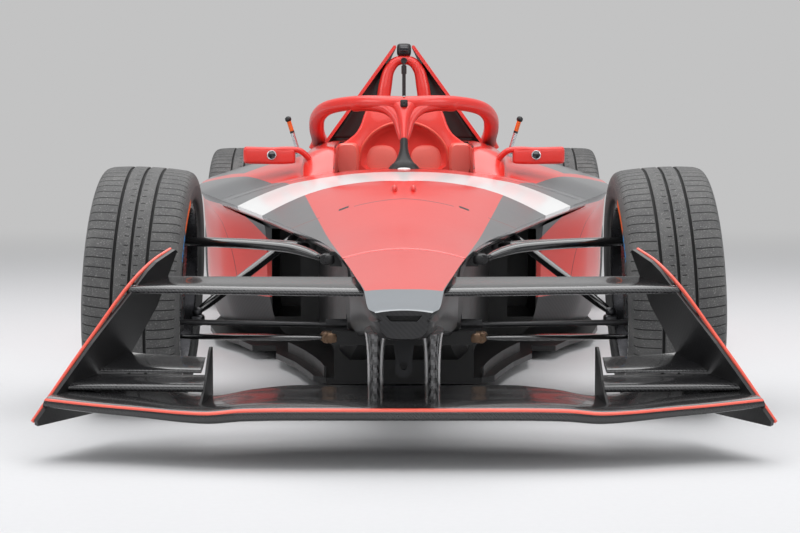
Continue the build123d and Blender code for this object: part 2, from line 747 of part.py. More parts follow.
# x and z of the hoop's left half
hoop_line = [(0, 1014), (34, 1006), (62, 978), (80, 930), (90, 880), (104, 820)]
hoop_whole = [(-x, z) for x, z in reversed(hoop_line[1:])] + hoop_line
with BuildPart() as roll_hoop:
    rings = []
    for i, (x, z) in enumerate(hoop_whole):
        x0, z0 = hoop_whole[max(i - 1, 0)]
        x1, z1 = hoop_whole[min(i + 1, len(hoop_whole) - 1)]
        run = Vector(x1 - x0, 0, z1 - z0).normalized()
        with BuildSketch(Plane(origin=(x, hoop_y, z), x_dir=(0, 1, 0), z_dir=run)) as ring:
            Circle(hoop_radius)
        rings.append(ring.sketch)
    loft(sections=rings, ruled=True)
    add_rod((0, hoop_y + 4, 1010), (0, hoop_y + 4, 840), 7)
    add(headrest.part, mode=Mode.SUBTRACT)
keep(roll_hoop.part, "roll_hoop")

fin_wall = 12
fin_base_drop = 70
# y behind the axle, base x and z, top x and z of each fin's middle line
fin_rows = [
    (1752, 281, 723, 37, 1066), (1900, 268, 716, 88, 1002), (2100, 246, 708, 110, 962),
    (2400, 206, 692, 130, 896), (2900, 128, 655, 80, 768), (3480, 44, 566, 30, 596),
]
with BuildPart() as fin:
    slices = []
    for y, base_x, base_z, top_x, top_z in fin_rows:
        lean = Vector(base_x - top_x, 0, base_z - top_z).normalized()
        foot = Vector(base_x, 0, base_z) + lean * fin_base_drop
        side = Vector(-lean.Z, 0, lean.X) * (fin_wall / 2)
        head = Vector(top_x, 0, top_z)
        corners_2d = [head + side, foot + side, foot - side, head - side]
        with BuildSketch(section_plane(front_axle_y + y)) as slice_:
            Polygon(*[(p.X, p.Z) for p in corners_2d], align=None)
        slices.append(slice_.sketch)
    loft(sections=slices, ruled=True)
    for body in (survival_cell, rear_cover, side_pod_left, halo, headrest, roll_hoop):
        add(body.part, mode=Mode.SUBTRACT)
keep(pair_of(fin.part), "hoop_fins")

apex_rear_y = front_axle_y + 1838
apex_length = 92
apex_half = [(0, 1078), (20, 1078), (27, 1066), (27, 1030), (0, 1030)]
with BuildPart() as apex_pod:
    with BuildSketch(section_plane(apex_rear_y)) as outline:
        Polygon(*both_sides(apex_half), align=None)
    extrude(outline.sketch, amount=apex_length)
    add(roll_hoop.part, mode=Mode.SUBTRACT)
    add(fin.part, mode=Mode.SUBTRACT)
    add(mirrored(fin.part), mode=Mode.SUBTRACT)
keep(apex_pod.part, "apex_pod")

seat_half_width = 200
seat_hollow_half = 150
# y behind the front axle and z of the seat seen from the side, then of the hollow that the driver fills
seat_corners = [(1130, cockpit_floor_z), (1130, 215), (1200, 205), (1420, 150), (1500, 165), (1650, 560),
                (1725, 585), (1725, cockpit_floor_z)]
seat_hollow_corners = [(1129, 700), (1129, 165), (1200, 155), (1430, 112), (1520, 125), (1680, 600), (1680, 700)]
with BuildPart() as seat:
    with BuildSketch(side_plane(-seat_half_width)) as profile:
        Polygon(*[(front_axle_y + y, z) for y, z in seat_corners], align=None)
    extrude(profile.sketch, amount=2 * seat_half_width)
    with BuildSketch(side_plane(-seat_hollow_half)) as hollow:
        Polygon(*[(front_axle_y + y, z) for y, z in seat_hollow_corners], align=None)
    extrude(hollow.sketch, amount=2 * seat_hollow_half, mode=Mode.SUBTRACT)
    add(headrest.part, mode=Mode.SUBTRACT)
keep(seat.part, "seat")

# ---------------------------------------------------------------- floor and diffuser
# y behind the front axle and half width of the floor's edge
floor_edge = [(246, 190), (246, 262), (340, 282), (560, 336), (769, 407), (975, 420), (975, 500), (1150, 560),
              (1350, 660), (1600, 705), (2000, 705), (2300, 640), (2520, 480), (2640, 400), (3030, 380)]
floor_rear_y = front_axle_y + floor_edge[-1][0]
# x and y behind the axle along the curved vane beside the tub's keel, then its height and wall
vane_line = [(223, 212), (236, 300), (262, 430), (300, 590), (340, 730), (365, 805)]
vane_height = 31
vane_wall = 6
splitter_front_y = front_axle_y + 195
with BuildPart() as floor:
    with BuildSketch(Plane(origin=(0, 0, ground_clearance))) as plan:
        Polygon(*both_sides([(0, splitter_front_y), (223, splitter_front_y)]
                            + [(w, front_axle_y + y) for y, w in floor_edge[1:]] + [(0, floor_rear_y)]),
                align=None)
    extrude(plan.sketch, amount=floor_thickness - seat_gap)
    box_between((-200, splitter_front_y, ground_clearance), (200, footwell_front_y - 1, 170))
    for side in (1, -1):
        with BuildSketch(Plane(origin=(0, 0, ground_clearance))) as strip:
            outer = [(side * (x + vane_wall), front_axle_y + y) for x, y in vane_line]
            inner = [(side * x, front_axle_y + y) for x, y in vane_line]
            Polygon(*(outer + list(reversed(inner))), align=None)
        extrude(strip.sketch, amount=floor_thickness + vane_height)
    add(survival_cell.part, mode=Mode.SUBTRACT)
keep(floor.part, "floor")

# y behind the rear axle, z of the roof's underside, half width of the tunnel
diffuser_rows = [(60 + seat_gap, ground_clearance + 2, 380), (300, 92, 430), (620, 170, 500), (960, 248, 560)]
diffuser_wall = 9
skirt_z = ground_clearance - 4
with BuildPart() as diffuser:
    loft_across([
        (rear_axle_y + y, both_sides([
            (0, z + diffuser_wall), (w, z + diffuser_wall), (w, skirt_z),
            (w - diffuser_wall, skirt_z), (w - diffuser_wall, z), (0, z)]))
        for y, z, w in diffuser_rows
    ])
keep(diffuser.part, "diffuser")

# ---------------------------------------------------------------- rear wing, crash structure and light
crash_rows = [(rear_axle_y + 350, 80, 410, 245), (rear_axle_y + 930, 48, 360, 268)]
with BuildPart() as crash_structure:
    loft_across([(y, [(-w, top), (w, top), (w, low), (-w, low)]) for y, w, top, low in crash_rows])
    add(drive_case.part, mode=Mode.SUBTRACT)
keep(crash_structure.part, "crash_structure")
light_size = (70, 30, 92)
with BuildPart() as rain_light:
    box_between((-light_size[0] / 2, rear_axle_y + 930 + seat_gap, 266),
                (light_size[0] / 2, rear_axle_y + 930 + light_size[1], 266 + light_size[2]))
keep(rain_light.part, "rain_light")

rear_endplate_x = 712
rear_endplate_wall = 10
# y behind the rear axle and z of the rear endplate
rear_endplate_corners = [(470, 640), (500, 655), (900, 655), (1061, 520), (1040, 200), (960, 150),
                         (820, 150), (760, 260), (560, 330)]
with BuildPart() as rear_endplate:
    with BuildSketch(side_plane(rear_endplate_x)) as outline:
        Polygon(*[(rear_axle_y + y, z) for y, z in rear_endplate_corners], align=None)
    extrude(outline.sketch, amount=rear_endplate_wall)
keep(pair_of(rear_endplate.part), "rear_endplates")

# x, leading edge y behind the rear axle, z, thickness, trailing edge y, z
rear_low_rows = [(40, 560, 470, 30, 850, 545), (rear_endplate_x, 560, 470, 30, 850, 545)]
rear_top_rows = [(40, 840, 560, 20, 985, 640), (rear_endplate_x, 840, 560, 20, 985, 640)]
rear_mast_corners = [(600, 478), (600, 300), (760, 300), (760, 505)]
with BuildPart() as rear_wing:
    for rows in (rear_low_rows, rear_top_rows):
        loft(sections=[plane_section(x, rear_axle_y + lead, z, thick, rear_axle_y + trail, trail_z)
                       for x, lead, z, thick, trail, trail_z in rows], ruled=True)
    for x in (60, 400):
        with BuildSketch(side_plane(x)) as bridge:
            Polygon(*[(rear_axle_y + y, z) for y, z in
                      [(780, 500), (870, 540), (930, 585), (900, 600), (840, 580), (800, 540)]], align=None)
        extrude(bridge.sketch, amount=8)
    with BuildSketch(side_plane(48)) as mast:
        Polygon(*[(rear_axle_y + y, z) for y, z in rear_mast_corners], align=None)
    extrude(mast.sketch, amount=12)
    add(crash_structure.part, mode=Mode.SUBTRACT)
    add(rear_cover.part, mode=Mode.SUBTRACT)
keep(pair_of(rear_wing.part), "rear_wing")

# ---------------------------------------------------------------- mirrors, aerials and towing eye
mirror_y = front_axle_y + 1200
mirror_depth = 70
mirror_arm_radius = 11
# x and z of the housing seen from the front, then the arm's centre line down to the cockpit's rim
mirror_corners = [(372, 656), (386, 698), (520, 700), (546, 688), (540, 650), (520, 641), (392, 641)]
mirror_arm_line = [(392, mirror_y + 42, 668), (345, mirror_y + 18, 664), (318, mirror_y - 20, 640),
                   (298, mirror_y - 46, 600)]
with BuildPart() as mirror_left:
    with BuildSketch(section_plane(mirror_y + mirror_depth)) as housing:
        Polygon(*mirror_corners, align=None)
    extrude(housing.sketch, amount=mirror_depth)
    for start, end in zip(mirror_arm_line, mirror_arm_line[1:]):
        add_rod(start, end, mirror_arm_radius)
    for point in mirror_arm_line[1:-1]:
        with Locations(point):
            Sphere(mirror_arm_radius)
    add(survival_cell.part, mode=Mode.SUBTRACT)
    add(side_pod_left.part, mode=Mode.SUBTRACT)
keep(pair_of(largest(mirror_left.part)), "mirrors")

aerial_y = front_axle_y + 2000
aerial_radius = 5
with BuildPart() as aerial:
    add_rod((395, aerial_y, 640), (448, aerial_y, 812), aerial_radius)
    add(side_pod_left.part, mode=Mode.SUBTRACT)
keep(pair_of(largest(aerial.part)), "aerial_rods")

tow_hole_z = 146
tow_hole_radius = 10
tow_plate_thickness = 14
tow_eye_y = front_axle_y - 300
# x and z of the towing plate's half outline, from its root in the nose to its tip
tow_plate_half = [(34, 250), (22, 168), (22, 130), (8, 116)]
with BuildPart() as tow_eye:
    with BuildSketch(section_plane(tow_eye_y)) as plate:
        Polygon(*both_sides(tow_plate_half), align=None)
        with Locations((0, tow_hole_z)):
            Circle(tow_hole_radius, mode=Mode.SUBTRACT)
    extrude(plate.sketch, amount=-tow_plate_thickness)
    add(survival_cell.part, mode=Mode.SUBTRACT)
keep(tow_eye.part, "tow_eye")
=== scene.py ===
from math import cos, pi, radians, sin

import bmesh
import bpy
import numpy as np
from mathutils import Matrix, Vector


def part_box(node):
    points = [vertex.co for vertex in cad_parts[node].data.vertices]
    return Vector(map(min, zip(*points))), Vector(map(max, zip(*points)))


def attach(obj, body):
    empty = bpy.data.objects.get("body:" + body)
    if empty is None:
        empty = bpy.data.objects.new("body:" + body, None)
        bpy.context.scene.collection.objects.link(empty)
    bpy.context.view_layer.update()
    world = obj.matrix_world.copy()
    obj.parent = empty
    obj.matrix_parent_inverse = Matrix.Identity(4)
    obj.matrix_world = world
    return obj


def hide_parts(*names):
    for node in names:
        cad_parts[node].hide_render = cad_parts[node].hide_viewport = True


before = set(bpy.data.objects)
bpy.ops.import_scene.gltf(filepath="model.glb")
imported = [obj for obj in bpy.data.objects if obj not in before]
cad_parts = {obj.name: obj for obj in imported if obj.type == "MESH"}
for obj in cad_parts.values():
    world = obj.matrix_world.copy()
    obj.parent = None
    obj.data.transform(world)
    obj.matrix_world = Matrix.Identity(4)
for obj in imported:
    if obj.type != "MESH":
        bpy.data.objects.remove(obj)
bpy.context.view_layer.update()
print("frame loaded")

# places taken from the frame, in metres; y runs to the tail and x to the car's left


def boxOf(node):
    # middle and half size of a CAD node
    low, high = (np.array(corner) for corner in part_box(node))
    return (low + high) / 2, (high - low) / 2


frontAxle = float(boxOf("rim_front_left")[0][1])
sides = {"left": 1, "right": -1}


def onCar(points):
    # out, behind the front axle and height, as places in the frame
    return np.asarray(points, float) + [0, frontAxle, 0]


# surfaces worked out as whole arrays


def easeThrough(knots, values, at, monotone=True):
    # cubic between neighbouring rows; a row's slope is the harmonic or weighted mean of those beside it
    knots, values, at = np.asarray(knots, float), np.asarray(values, float), np.atleast_1d(at)
    step = np.diff(knots)[:, None]
    slope = np.diff(values, axis=0) / step
    before, after = slope[:-1], slope[1:]
    same = before * after > 0
    if monotone:
        inner = np.where(same, 2 * before * after / np.where(same, before + after, 1), 0)
    else:
        inner = (before * step[1:] + after * step[:-1]) / (step[1:] + step[:-1])
    tangent = np.vstack([slope[:1], inner, slope[-1:]])
    cell = np.clip(np.searchsorted(knots, at, side="right") - 1, 0, len(knots) - 2)
    width = step[cell]
    t = (at - knots[cell])[:, None] / width
    return (values[cell] * (1 + 2 * t) * (1 - t) ** 2 + tangent[cell] * width * t * (1 - t) ** 2
            + values[cell + 1] * t ** 2 * (3 - 2 * t) + tangent[cell + 1] * width * t ** 2 * (t - 1))


def rowValues(table, behind):
    # the columns after the first one, eased to each place along the first
    table = np.asarray(table, float)
    return easeThrough(table[:, 0], table[:, 1:], behind).T[..., None]


def curveThrough(points, count):
    # a smooth line through the points, evenly spread along its length
    points = np.asarray(points, float)
    run = np.concatenate([[0], np.cumsum(np.linalg.norm(np.diff(points, axis=0), axis=1))])
    return easeThrough(run, points, np.linspace(0, run[-1], count), monotone=False)


def acrossCar(left):
    # a line or rings from the middle to the left, carried on from their mirror image
    return np.concatenate([left[::-1] * [-1, 1, 1], left[1:]])


def ringsAt(x, z, behind):
    # rows of points, each row in its own plane behind the front axle
    return np.stack([x, np.broadcast_to(frontAxle + np.asarray(behind)[:, None], x.shape), z], -1)


def unit(way):
    way = np.asarray(way, float)
    return way / np.linalg.norm(way, axis=-1, keepdims=True)


def circle(count):
    # evenly spread angles round a full turn
    return np.linspace(0, 2 * pi, count, endpoint=False)


def soft(value, power):
    # rounds a circle's sine or cosine towards a square as the power rises
    return np.sign(value) * np.abs(value) ** (2 / power)


def sheetOf(grid, closedRows=False, closedCols=False):
    # a grid of points with a four-cornered face in each cell
    rows, cols = grid.shape[:2]
    i, j = np.meshgrid(np.arange(rows if closedRows else rows - 1),
                       np.arange(cols if closedCols else cols - 1), indexing="ij")
    nextRow, nextCol = (i + 1) % rows, (j + 1) % cols
    corners = [i * cols + j, i * cols + nextCol, nextRow * cols + nextCol, nextRow * cols + j]
    return grid.reshape(-1, 3), np.stack(corners, -1).reshape(-1, 4).tolist()


def loftOf(grid):
    # closed rings one after another, with a flat face at each end
    rows, cols = grid.shape[:2]
    points, faces = sheetOf(grid, closedCols=True)
    return points, faces + [list(range(cols))[::-1], list(range((rows - 1) * cols, rows * cols))]


def tubeOf(path, wide, high=None, around=20, power=2.0, up=(0, 0, 1)):
    # a superellipse carried along a path: |side/wide|^power + |up/high|^power = 1
    path = np.asarray(path, float)
    wide = np.broadcast_to(np.asarray(wide, float), len(path))
    high = wide if high is None else np.broadcast_to(np.asarray(high, float), len(path))
    tangent = unit(np.gradient(path, axis=0))
    side = unit(np.cross(tangent, np.asarray(up, float)))
    c, s = soft(np.cos(circle(around)), power), soft(np.sin(circle(around)), power)
    return loftOf(path[:, None] + side[:, None] * (wide[:, None] * c)[..., None]
                  + np.cross(side, tangent)[:, None] * (high[:, None] * s)[..., None])


def barOf(start, end, chord, thick, ends, bow):
    # a wing-section bar: nose round, tail thin, chord as near to y as it can be, arched by bow near its root
    t = np.linspace(0, 1, 25)[:, None]
    arch = np.where(t < .24, 1 - (1 - t / .24) ** 2, (1 - (np.maximum(t - .24, 0) / .76) ** 1.6) ** 1.2)
    path = start + (end - start) * t + [0, 0, bow] * arch
    along = unit(end - start)
    chordWay = unit(np.array([0, 1.0, 0]) - along * along[1])
    angle = circle(26)
    x = -np.cos(angle) * .5
    z = np.sin(angle) * .5 * (.62 + .38 * np.cos(angle)) * 1.12
    size = (1 - (1 - ends) * np.abs(2 * t - 1) ** 6)[:, None]
    return loftOf(path[:, None] + chordWay * (x * chord)[None, :, None] * size
                  + np.cross(along, chordWay) * (z * thick)[None, :, None] * size)


def latheOf(profile, centre, axle, around=96, ripple=(0, 0)):
    # (along the axle, radius) pairs turned about it; radius * (1 + depth cos(lobes angle)) for a fluted part
    profile, axle = np.asarray(profile, float), unit(axle)
    first = unit(np.cross(axle, [0, 1.0, 0] if abs(axle[1]) < .9 else [0, 0, 1.0]))
    angle = circle(around)[:, None, None]
    swell = 1 + ripple[1] * np.cos(ripple[0] * angle)
    ring = (np.cos(angle) * first + np.sin(angle) * np.cross(axle, first)) * profile[None, :, 1:2] * swell
    return sheetOf(np.asarray(centre) + profile[None, :, :1] * axle + ring, closedRows=True, closedCols=True)


def padOf(centre, half, power=3.2, around=20, rings=10, turn=None):
    # a superellipsoid, a block with soft edges: |x/a|^p + |y/b|^p + |z/c|^p = 1
    u, v = np.linspace(-pi / 2, pi / 2, rings)[:, None], circle(around)[None]
    cu, su, cv, sv = (soft(value, power) for value in (np.cos(u), np.sin(u), np.cos(v), np.sin(v)))
    grid = np.stack([cu * cv * half[0], cu * sv * half[1], su * np.ones_like(cv) * half[2]], -1)
    if turn is not None:
        grid = grid @ turn.T
    return loftOf(grid + np.asarray(centre))


def padAt(place, half, **facts):
    return padOf(onCar(place), half, **facts)


def plateOf(outline, out, thick):
    # a flat plate: its outline and the same outline a thickness away
    return loftOf(np.stack([outline, outline + unit(out) * thick]))


def boltOf(centre, out, radius=.006):
    # a cap screw: rim, chamfer and a hollow head
    height = radius * .7
    profile = [(-height, radius), (height * .6, radius), (height, radius * .85), (height, radius * .5),
               (height * .2, radius * .45), (height * .2, radius * .01), (-height, radius * .01)]
    return latheOf(profile, centre, out, around=12)


def pair(*parts):
    # parts of the left side with their mirror images
    return [*parts, *((verts * [-1, 1, 1], faces) for verts, faces in parts)]


def addPiece(name, parts, material, replaces=(), smooth=38, wall=0, bevel=0, slot=None, body="chassis",
             paint=None):
    # joins the parts in one mesh, points its faces outwards and hangs it on its body
    verts, faces, start = [], [], 0
    for points, cells in parts:
        verts.append(points)
        faces += [[index + start for index in cell] for cell in cells]
        start += len(points)
    mesh = bpy.data.meshes.new(name)
    mesh.from_pydata(np.concatenate(verts).tolist(), [], faces)
    work = bmesh.new()
    work.from_mesh(mesh)
    bmesh.ops.remove_doubles(work, verts=work.verts, dist=2e-5)
    bmesh.ops.recalc_face_normals(work, faces=work.faces)
    work.to_mesh(mesh)
    work.free()
    mesh.shade_smooth()
    mesh.set_sharp_from_angle(angle=radians(smooth))
    piece = bpy.data.objects.new(name, mesh)
    bpy.context.collection.objects.link(piece)
    coats = material if isinstance(material, list) else [material]
    for coat in coats:
        mesh.materials.append(coat)
    if paint:
        centre, normal = np.empty(len(mesh.polygons) * 3), np.empty(len(mesh.polygons) * 3)
        mesh.polygons.foreach_get("center", centre)
        mesh.polygons.foreach_get("normal", normal)
        chosen = paint(centre.reshape(-1, 3), normal.reshape(-1, 3)).astype(np.int32)
        mesh.polygons.foreach_set("material_index", chosen)
    if wall:
        solid = piece.modifiers.new("wall", "SOLIDIFY")
        solid.thickness, solid.offset = wall, -1
    if bevel:
        edge = piece.modifiers.new("edge", "BEVEL")
        edge.width, edge.segments = bevel, 2
        edge.limit_method, edge.angle_limit = "ANGLE", radians(smooth)
    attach(piece, body)
    if replaces:
        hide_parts(*replaces)
    return piece


# shader helpers


def operatorFor(operation, swapped=False):
    def work(value, other):
        return value.shader.math(operation, *((other, value) if swapped else (value, other)))
    return work


class Value:
    # a number in a node tree; arithmetic on it adds the node that works it out. Masks: & is both, | is either
    __add__ = operatorFor("ADD")
    __sub__ = operatorFor("SUBTRACT")
    __rsub__ = operatorFor("SUBTRACT", swapped=True)
    __mul__ = __and__ = operatorFor("MULTIPLY")
    __truediv__ = operatorFor("DIVIDE")
    __pow__ = operatorFor("POWER")
    __mod__ = operatorFor("FLOORED_MODULO")
    __gt__ = operatorFor("GREATER_THAN")
    __lt__ = operatorFor("LESS_THAN")
    __or__ = operatorFor("MAXIMUM")

    def __init__(self, shader, socket):
        self.shader, self.socket = shader, socket

    def __abs__(self):
        return self.shader.math("ABSOLUTE", self)

    def __invert__(self):
        return self.shader.math("SUBTRACT", 1, self)


class Shader:
    # a node tree with short calls for the nodes that this car's finishes need
    def __init__(self, tree):
        self.tree = tree
        self.surface = tree.nodes.get("Principled BSDF")

    def node(self, kind, feeds=(), **values):
        made = self.tree.nodes.new(kind)
        for key, value in values.items():
            setattr(made, key, value)
        for key, value in dict(feeds).items():
            self.feed(made.inputs[key], value)
        return made

    def feed(self, socket, value):
        value = value.socket if isinstance(value, Value) else value
        if isinstance(value, bpy.types.NodeSocket):
            self.tree.links.new(value, socket)
        else:
            socket.default_value = value

    def math(self, operation, *values):
        return Value(self, self.node("ShaderNodeMath", enumerate(values), operation=operation).outputs[0])

    def ramp(self, value, low, high, toLow=0.0, toHigh=1.0, soft=False):
        # low to high becomes toLow to toHigh, held at both ends
        feeds = zip(("Value", "From Min", "From Max", "To Min", "To Max"), (value, low, high, toLow, toHigh))
        made = self.node("ShaderNodeMapRange", feeds, interpolation_type="SMOOTHSTEP" if soft else "LINEAR")
        return Value(self, made.outputs[0])

    def mix(self, amount, first, second):
        return self.node("ShaderNodeMix", {0: amount, 6: first, 7: second}, data_type="RGBA").outputs[2]

    def layers(self, colour, *coats):
        # each coat is a mask and the colour that covers what lies below
        for mask, shade in coats:
            colour = self.mix(mask, colour, shade)
        return colour

    def between(self, value, low, high):
        return (value > low) & (value < high)

    def ribs(self, value, pitch):
        return abs(self.math("SINE", value * (pi / pitch)))

    def noise(self, scale, detail, rough, vector=None):
        feeds = {"Vector": vector or self.place(), "Scale": scale, "Detail": detail, "Roughness": rough}
        return Value(self, self.node("ShaderNodeTexNoise", feeds).outputs["Fac"])

    def place(self):
        return self.node("ShaderNodeTexCoord").outputs["Object"]

    def split(self, vector):
        made = self.node("ShaderNodeSeparateXYZ", {0: vector})
        return [Value(self, socket) for socket in made.outputs]

    def facing(self):
        return self.split(self.node("ShaderNodeNewGeometry").outputs["True Normal"])

    def group(self, tree, **values):
        return self.node("ShaderNodeGroup", values, node_tree=tree).outputs

    def give(self, **results):
        # the outputs of a group
        for key in results:
            kind = "NodeSocketColor" if key == "Colour" else "NodeSocketFloat"
            self.tree.interface.new_socket(key, in_out="OUTPUT", socket_type=kind)
        self.node("NodeGroupOutput", results)
        return self.tree

    def finish(self, made, height, strength, distance):
        # the surface's colour and roughness, with a bump from the height
        bump = self.node("ShaderNodeBump", {"Strength": strength, "Distance": distance, "Height": height})
        for key, value in (("Base Color", made["Colour"]), ("Roughness", made["Roughness"]),
                           ("Normal", bump.outputs["Normal"])):
            self.feed(self.surface.inputs[key], value)


def newGroup(name, **inputs):
    tree = bpy.data.node_groups.new(name, "ShaderNodeTree")
    for key, value in inputs.items():
        kind = "NodeSocketFloat" if isinstance(value, float) else "NodeSocketColor"
        socket = tree.interface.new_socket(key, in_out="INPUT", socket_type=kind)
        if value:
            socket.default_value = value
    shader = Shader(tree)
    made = shader.node("NodeGroupInput").outputs
    return shader, {key: Value(shader, socket) for key, socket in made.items()}


def newMaterial(name, slot, **plain):
    # a Principled material; plain numbers go straight on to its own sockets
    material = bpy.data.materials.new(name)
    material.use_nodes = True
    shader = Shader(material.node_tree)
    for key, value in plain.items():
        shader.surface.inputs[key.replace("_", " ")].default_value = value
    return material, shader


colours = {
    "red": (.70, .026, .018, 1), "pink": (.86, .11, .07, 1), "white": (.76, .76, .755, 1),
    "grey": (.092, .096, .101, 1), "silver": (.15, .17, .19, 1), "black": (.012, .012, .013, 1),
    "carbonDark": (.006, .006, .007, 1), "carbonPale": (.028, .028, .030, 1),
    "rubber": (.080, .080, .081, 1), "rubberScrubAndSheen": (.215, .212, .206, 1), "rubberGapShade": (.012, .012, .012, 1),
    "bronze": (.20, .13, .085, 1), "orange": (.80, .12, .01, 1), "blue": (.02, .22, .55, 1),
}
print("helpers ready")

# effects that several finishes share


def twillGroup():
    # 2 x 2 twill cloth on a face seen along x, y or z: over-under steps every half tow
    shader, given = newGroup("carbonTwill", Tow=.0024, Dark=colours["carbonDark"], Pale=colours["carbonPale"])
    x, y, z = shader.split(shader.place())
    facing = shader.facing()
    upright, sideways = abs(facing[2]) > .6, abs(facing[0]) > .6
    u = (y * sideways + x * ~sideways) / given["Tow"]
    v = (y * upright + z * ~upright) / given["Tow"]
    over = (shader.math("FLOOR", u) + shader.math("FLOOR", v)) % 4 < 1.5
    return shader.give(Colour=shader.mix(over, given["Dark"], given["Pale"]),
                       Height=over * .6 + shader.ribs(u, 1) * .4)


def dustGroup():
    # faint smears and specks: lifts the roughness and greys the colour a little
    shader, given = newGroup("workshopDust", Colour=None, Dust=(.30, .28, .26, 1), Amount=.05, Roughness=.3)
    smear = shader.ramp(shader.noise(6.0, 5, .6), .40, .75)
    speck = shader.ramp(shader.noise(420.0, 2, .5), .62, .72)
    dust = (smear + speck) * given["Amount"]
    return shader.give(Colour=shader.mix(dust, given["Colour"], given["Dust"]),
                       Roughness=given["Roughness"] + dust * 1.5)


def wearGroup():
    # scuffed metal or plastic: long fine scratches and a cloudy tone
    shader, given = newGroup("fineScratches", Colour=None, Bare=(.3, .3, .3, 1), Amount=.2, Roughness=.35)
    mapping = {"Vector": shader.place(), "Scale": (1.0, .12, 1.0)}
    stretched = shader.node("ShaderNodeMapping", mapping).outputs[0]
    scratch = shader.ramp(shader.noise(260.0, 4, .7, stretched), .60, .68)
    cloud = shader.ramp(shader.noise(22.0, 4, .6), .35, .7)
    worn = scratch * cloud * given["Amount"]
    return shader.give(Colour=shader.mix(worn, given["Colour"], given["Bare"]),
                       Roughness=given["Roughness"] + (cloud - .5) * .16, Height=shader.noise(180.0, 3, .6))


carbonTwill = twillGroup()
workshopDust = dustGroup()
fineScratches = wearGroup()


def paintMaterial(name, colour, roughness=.34):
    # satin film over paint: a slight orange-peel and dust in places
    material, shader = newMaterial(name, "red_paint", Coat_Weight=.35, Coat_Roughness=.12,
                                   Specular_IOR_Level=.5)
    dusty = shader.group(workshopDust, Colour=colour, Amount=.03, Roughness=roughness)
    shader.finish(dusty, shader.noise(340.0, 2, .5), .05, .0004)
    return material


def carbonMaterial(name, tow=.0024, roughness=.22, coat=.7, pale=colours["carbonPale"],
                   dark=colours["carbonDark"], strength=.25, dust=.03):
    # clear-coated twill cloth
    material, shader = newMaterial(name, "carbon", Coat_Weight=coat, Coat_Roughness=.06)
    cloth = shader.group(carbonTwill, Tow=tow, Pale=pale, Dark=dark)
    dusty = shader.group(workshopDust, Colour=cloth["Colour"], Amount=dust, Roughness=roughness)
    shader.finish(dusty, cloth["Height"], strength, .0003)
    return material


def metalMaterial(name, colour, roughness=.32, bare=(.75, .75, .75, 1), amount=.4, slot="steel"):
    # machined metal with hairline scratches
    material, shader = newMaterial(name, slot, Metallic=1.0)
    worn = shader.group(fineScratches, Colour=colour, Bare=bare, Amount=amount, Roughness=roughness)
    shader.finish(worn, worn["Height"], .06, .0003)
    return material


def plasticMaterial(name, colour, roughness=.45, grain=900.0, strength=.12, slot="black_plastic"):
    # moulded plastic: fine even grain
    material, shader = newMaterial(name, slot)
    worn = shader.group(fineScratches, Colour=colour, Bare=(.10, .10, .10, 1), Amount=.3, Roughness=roughness)
    shader.finish(worn, shader.noise(grain, 2, .5), strength, .0002)
    return material


def glassMaterial(name, colour, slot):
    material, shader = newMaterial(name, slot, Coat_Weight=1.0, Coat_Roughness=.03)
    rings = shader.noise(90.0, 2, .5)
    colour = shader.mix(rings, colour, tuple(c * .6 for c in colour[:3]) + (1,))
    shader.finish({"Colour": colour, "Roughness": shader.ramp(rings, 0, 1, .06, .14)}, rings, .04, .0002)
    return material


# where the painted colours change, in metres behind the front axle and out from the middle
livery = {
    "noseBorder": (-.812, .12),            # silver tip ends here at the middle, and how far it bends back
    "redEdge": (.2075, .148),              # half width of the red at the axle, and how it grows
    # white band's front and rear edges: place, grade, where that ends, fall, and where the fall starts
    "bandFront": (.605, .33, .25, .20, .30), "bandRear": (.865, .38, .37, .45, .37),
    "patchInner": (.372, .988, .25), "patchRear": (1.257, .504, 1.60),
    "tailGrey": (1.425, .564, 2.2, 1.0), "lip": (.434, .0626), "flankFoot": (.17, .02), "inletOut": .4475,
    "flankGrey": (.385, .453, .90, .535), "seam": .0011, "wideSeam": .0035, "curve": (1.267, .276, .17, .9),
    "chevron": (.333, .19, .145), "slitShade": (.175, .312, .014, .0115), "joint": (.292, .244, .27),
    "podJoint": 2.06, "deckJoint": 2.62, "chin": (-.60, .341), "podFront": (1.148, .40), "redRear": 1.02,
    "tailOut": .30, "lipReach": (-.6, 1.8), "creaseShadeReach": (-.55, 1.62), "wrapReach": (.60, .97),
    "greyReach": (.9, 1.27), "ductTop": .4255, "ductReach": (1.135, 1.60), "cockpit": (.262, .45),
    # a face counts as the top above this share of upright
    "cockpitReach": (1.10, 1.95), "facingUp": .28,
    # near-black painted shade for the inside of the inlet ducts; a dark red for the panel joints
    "duct": (.004, .004, .004, 1), "seamColour": (.16, .02, .02, 1),
}


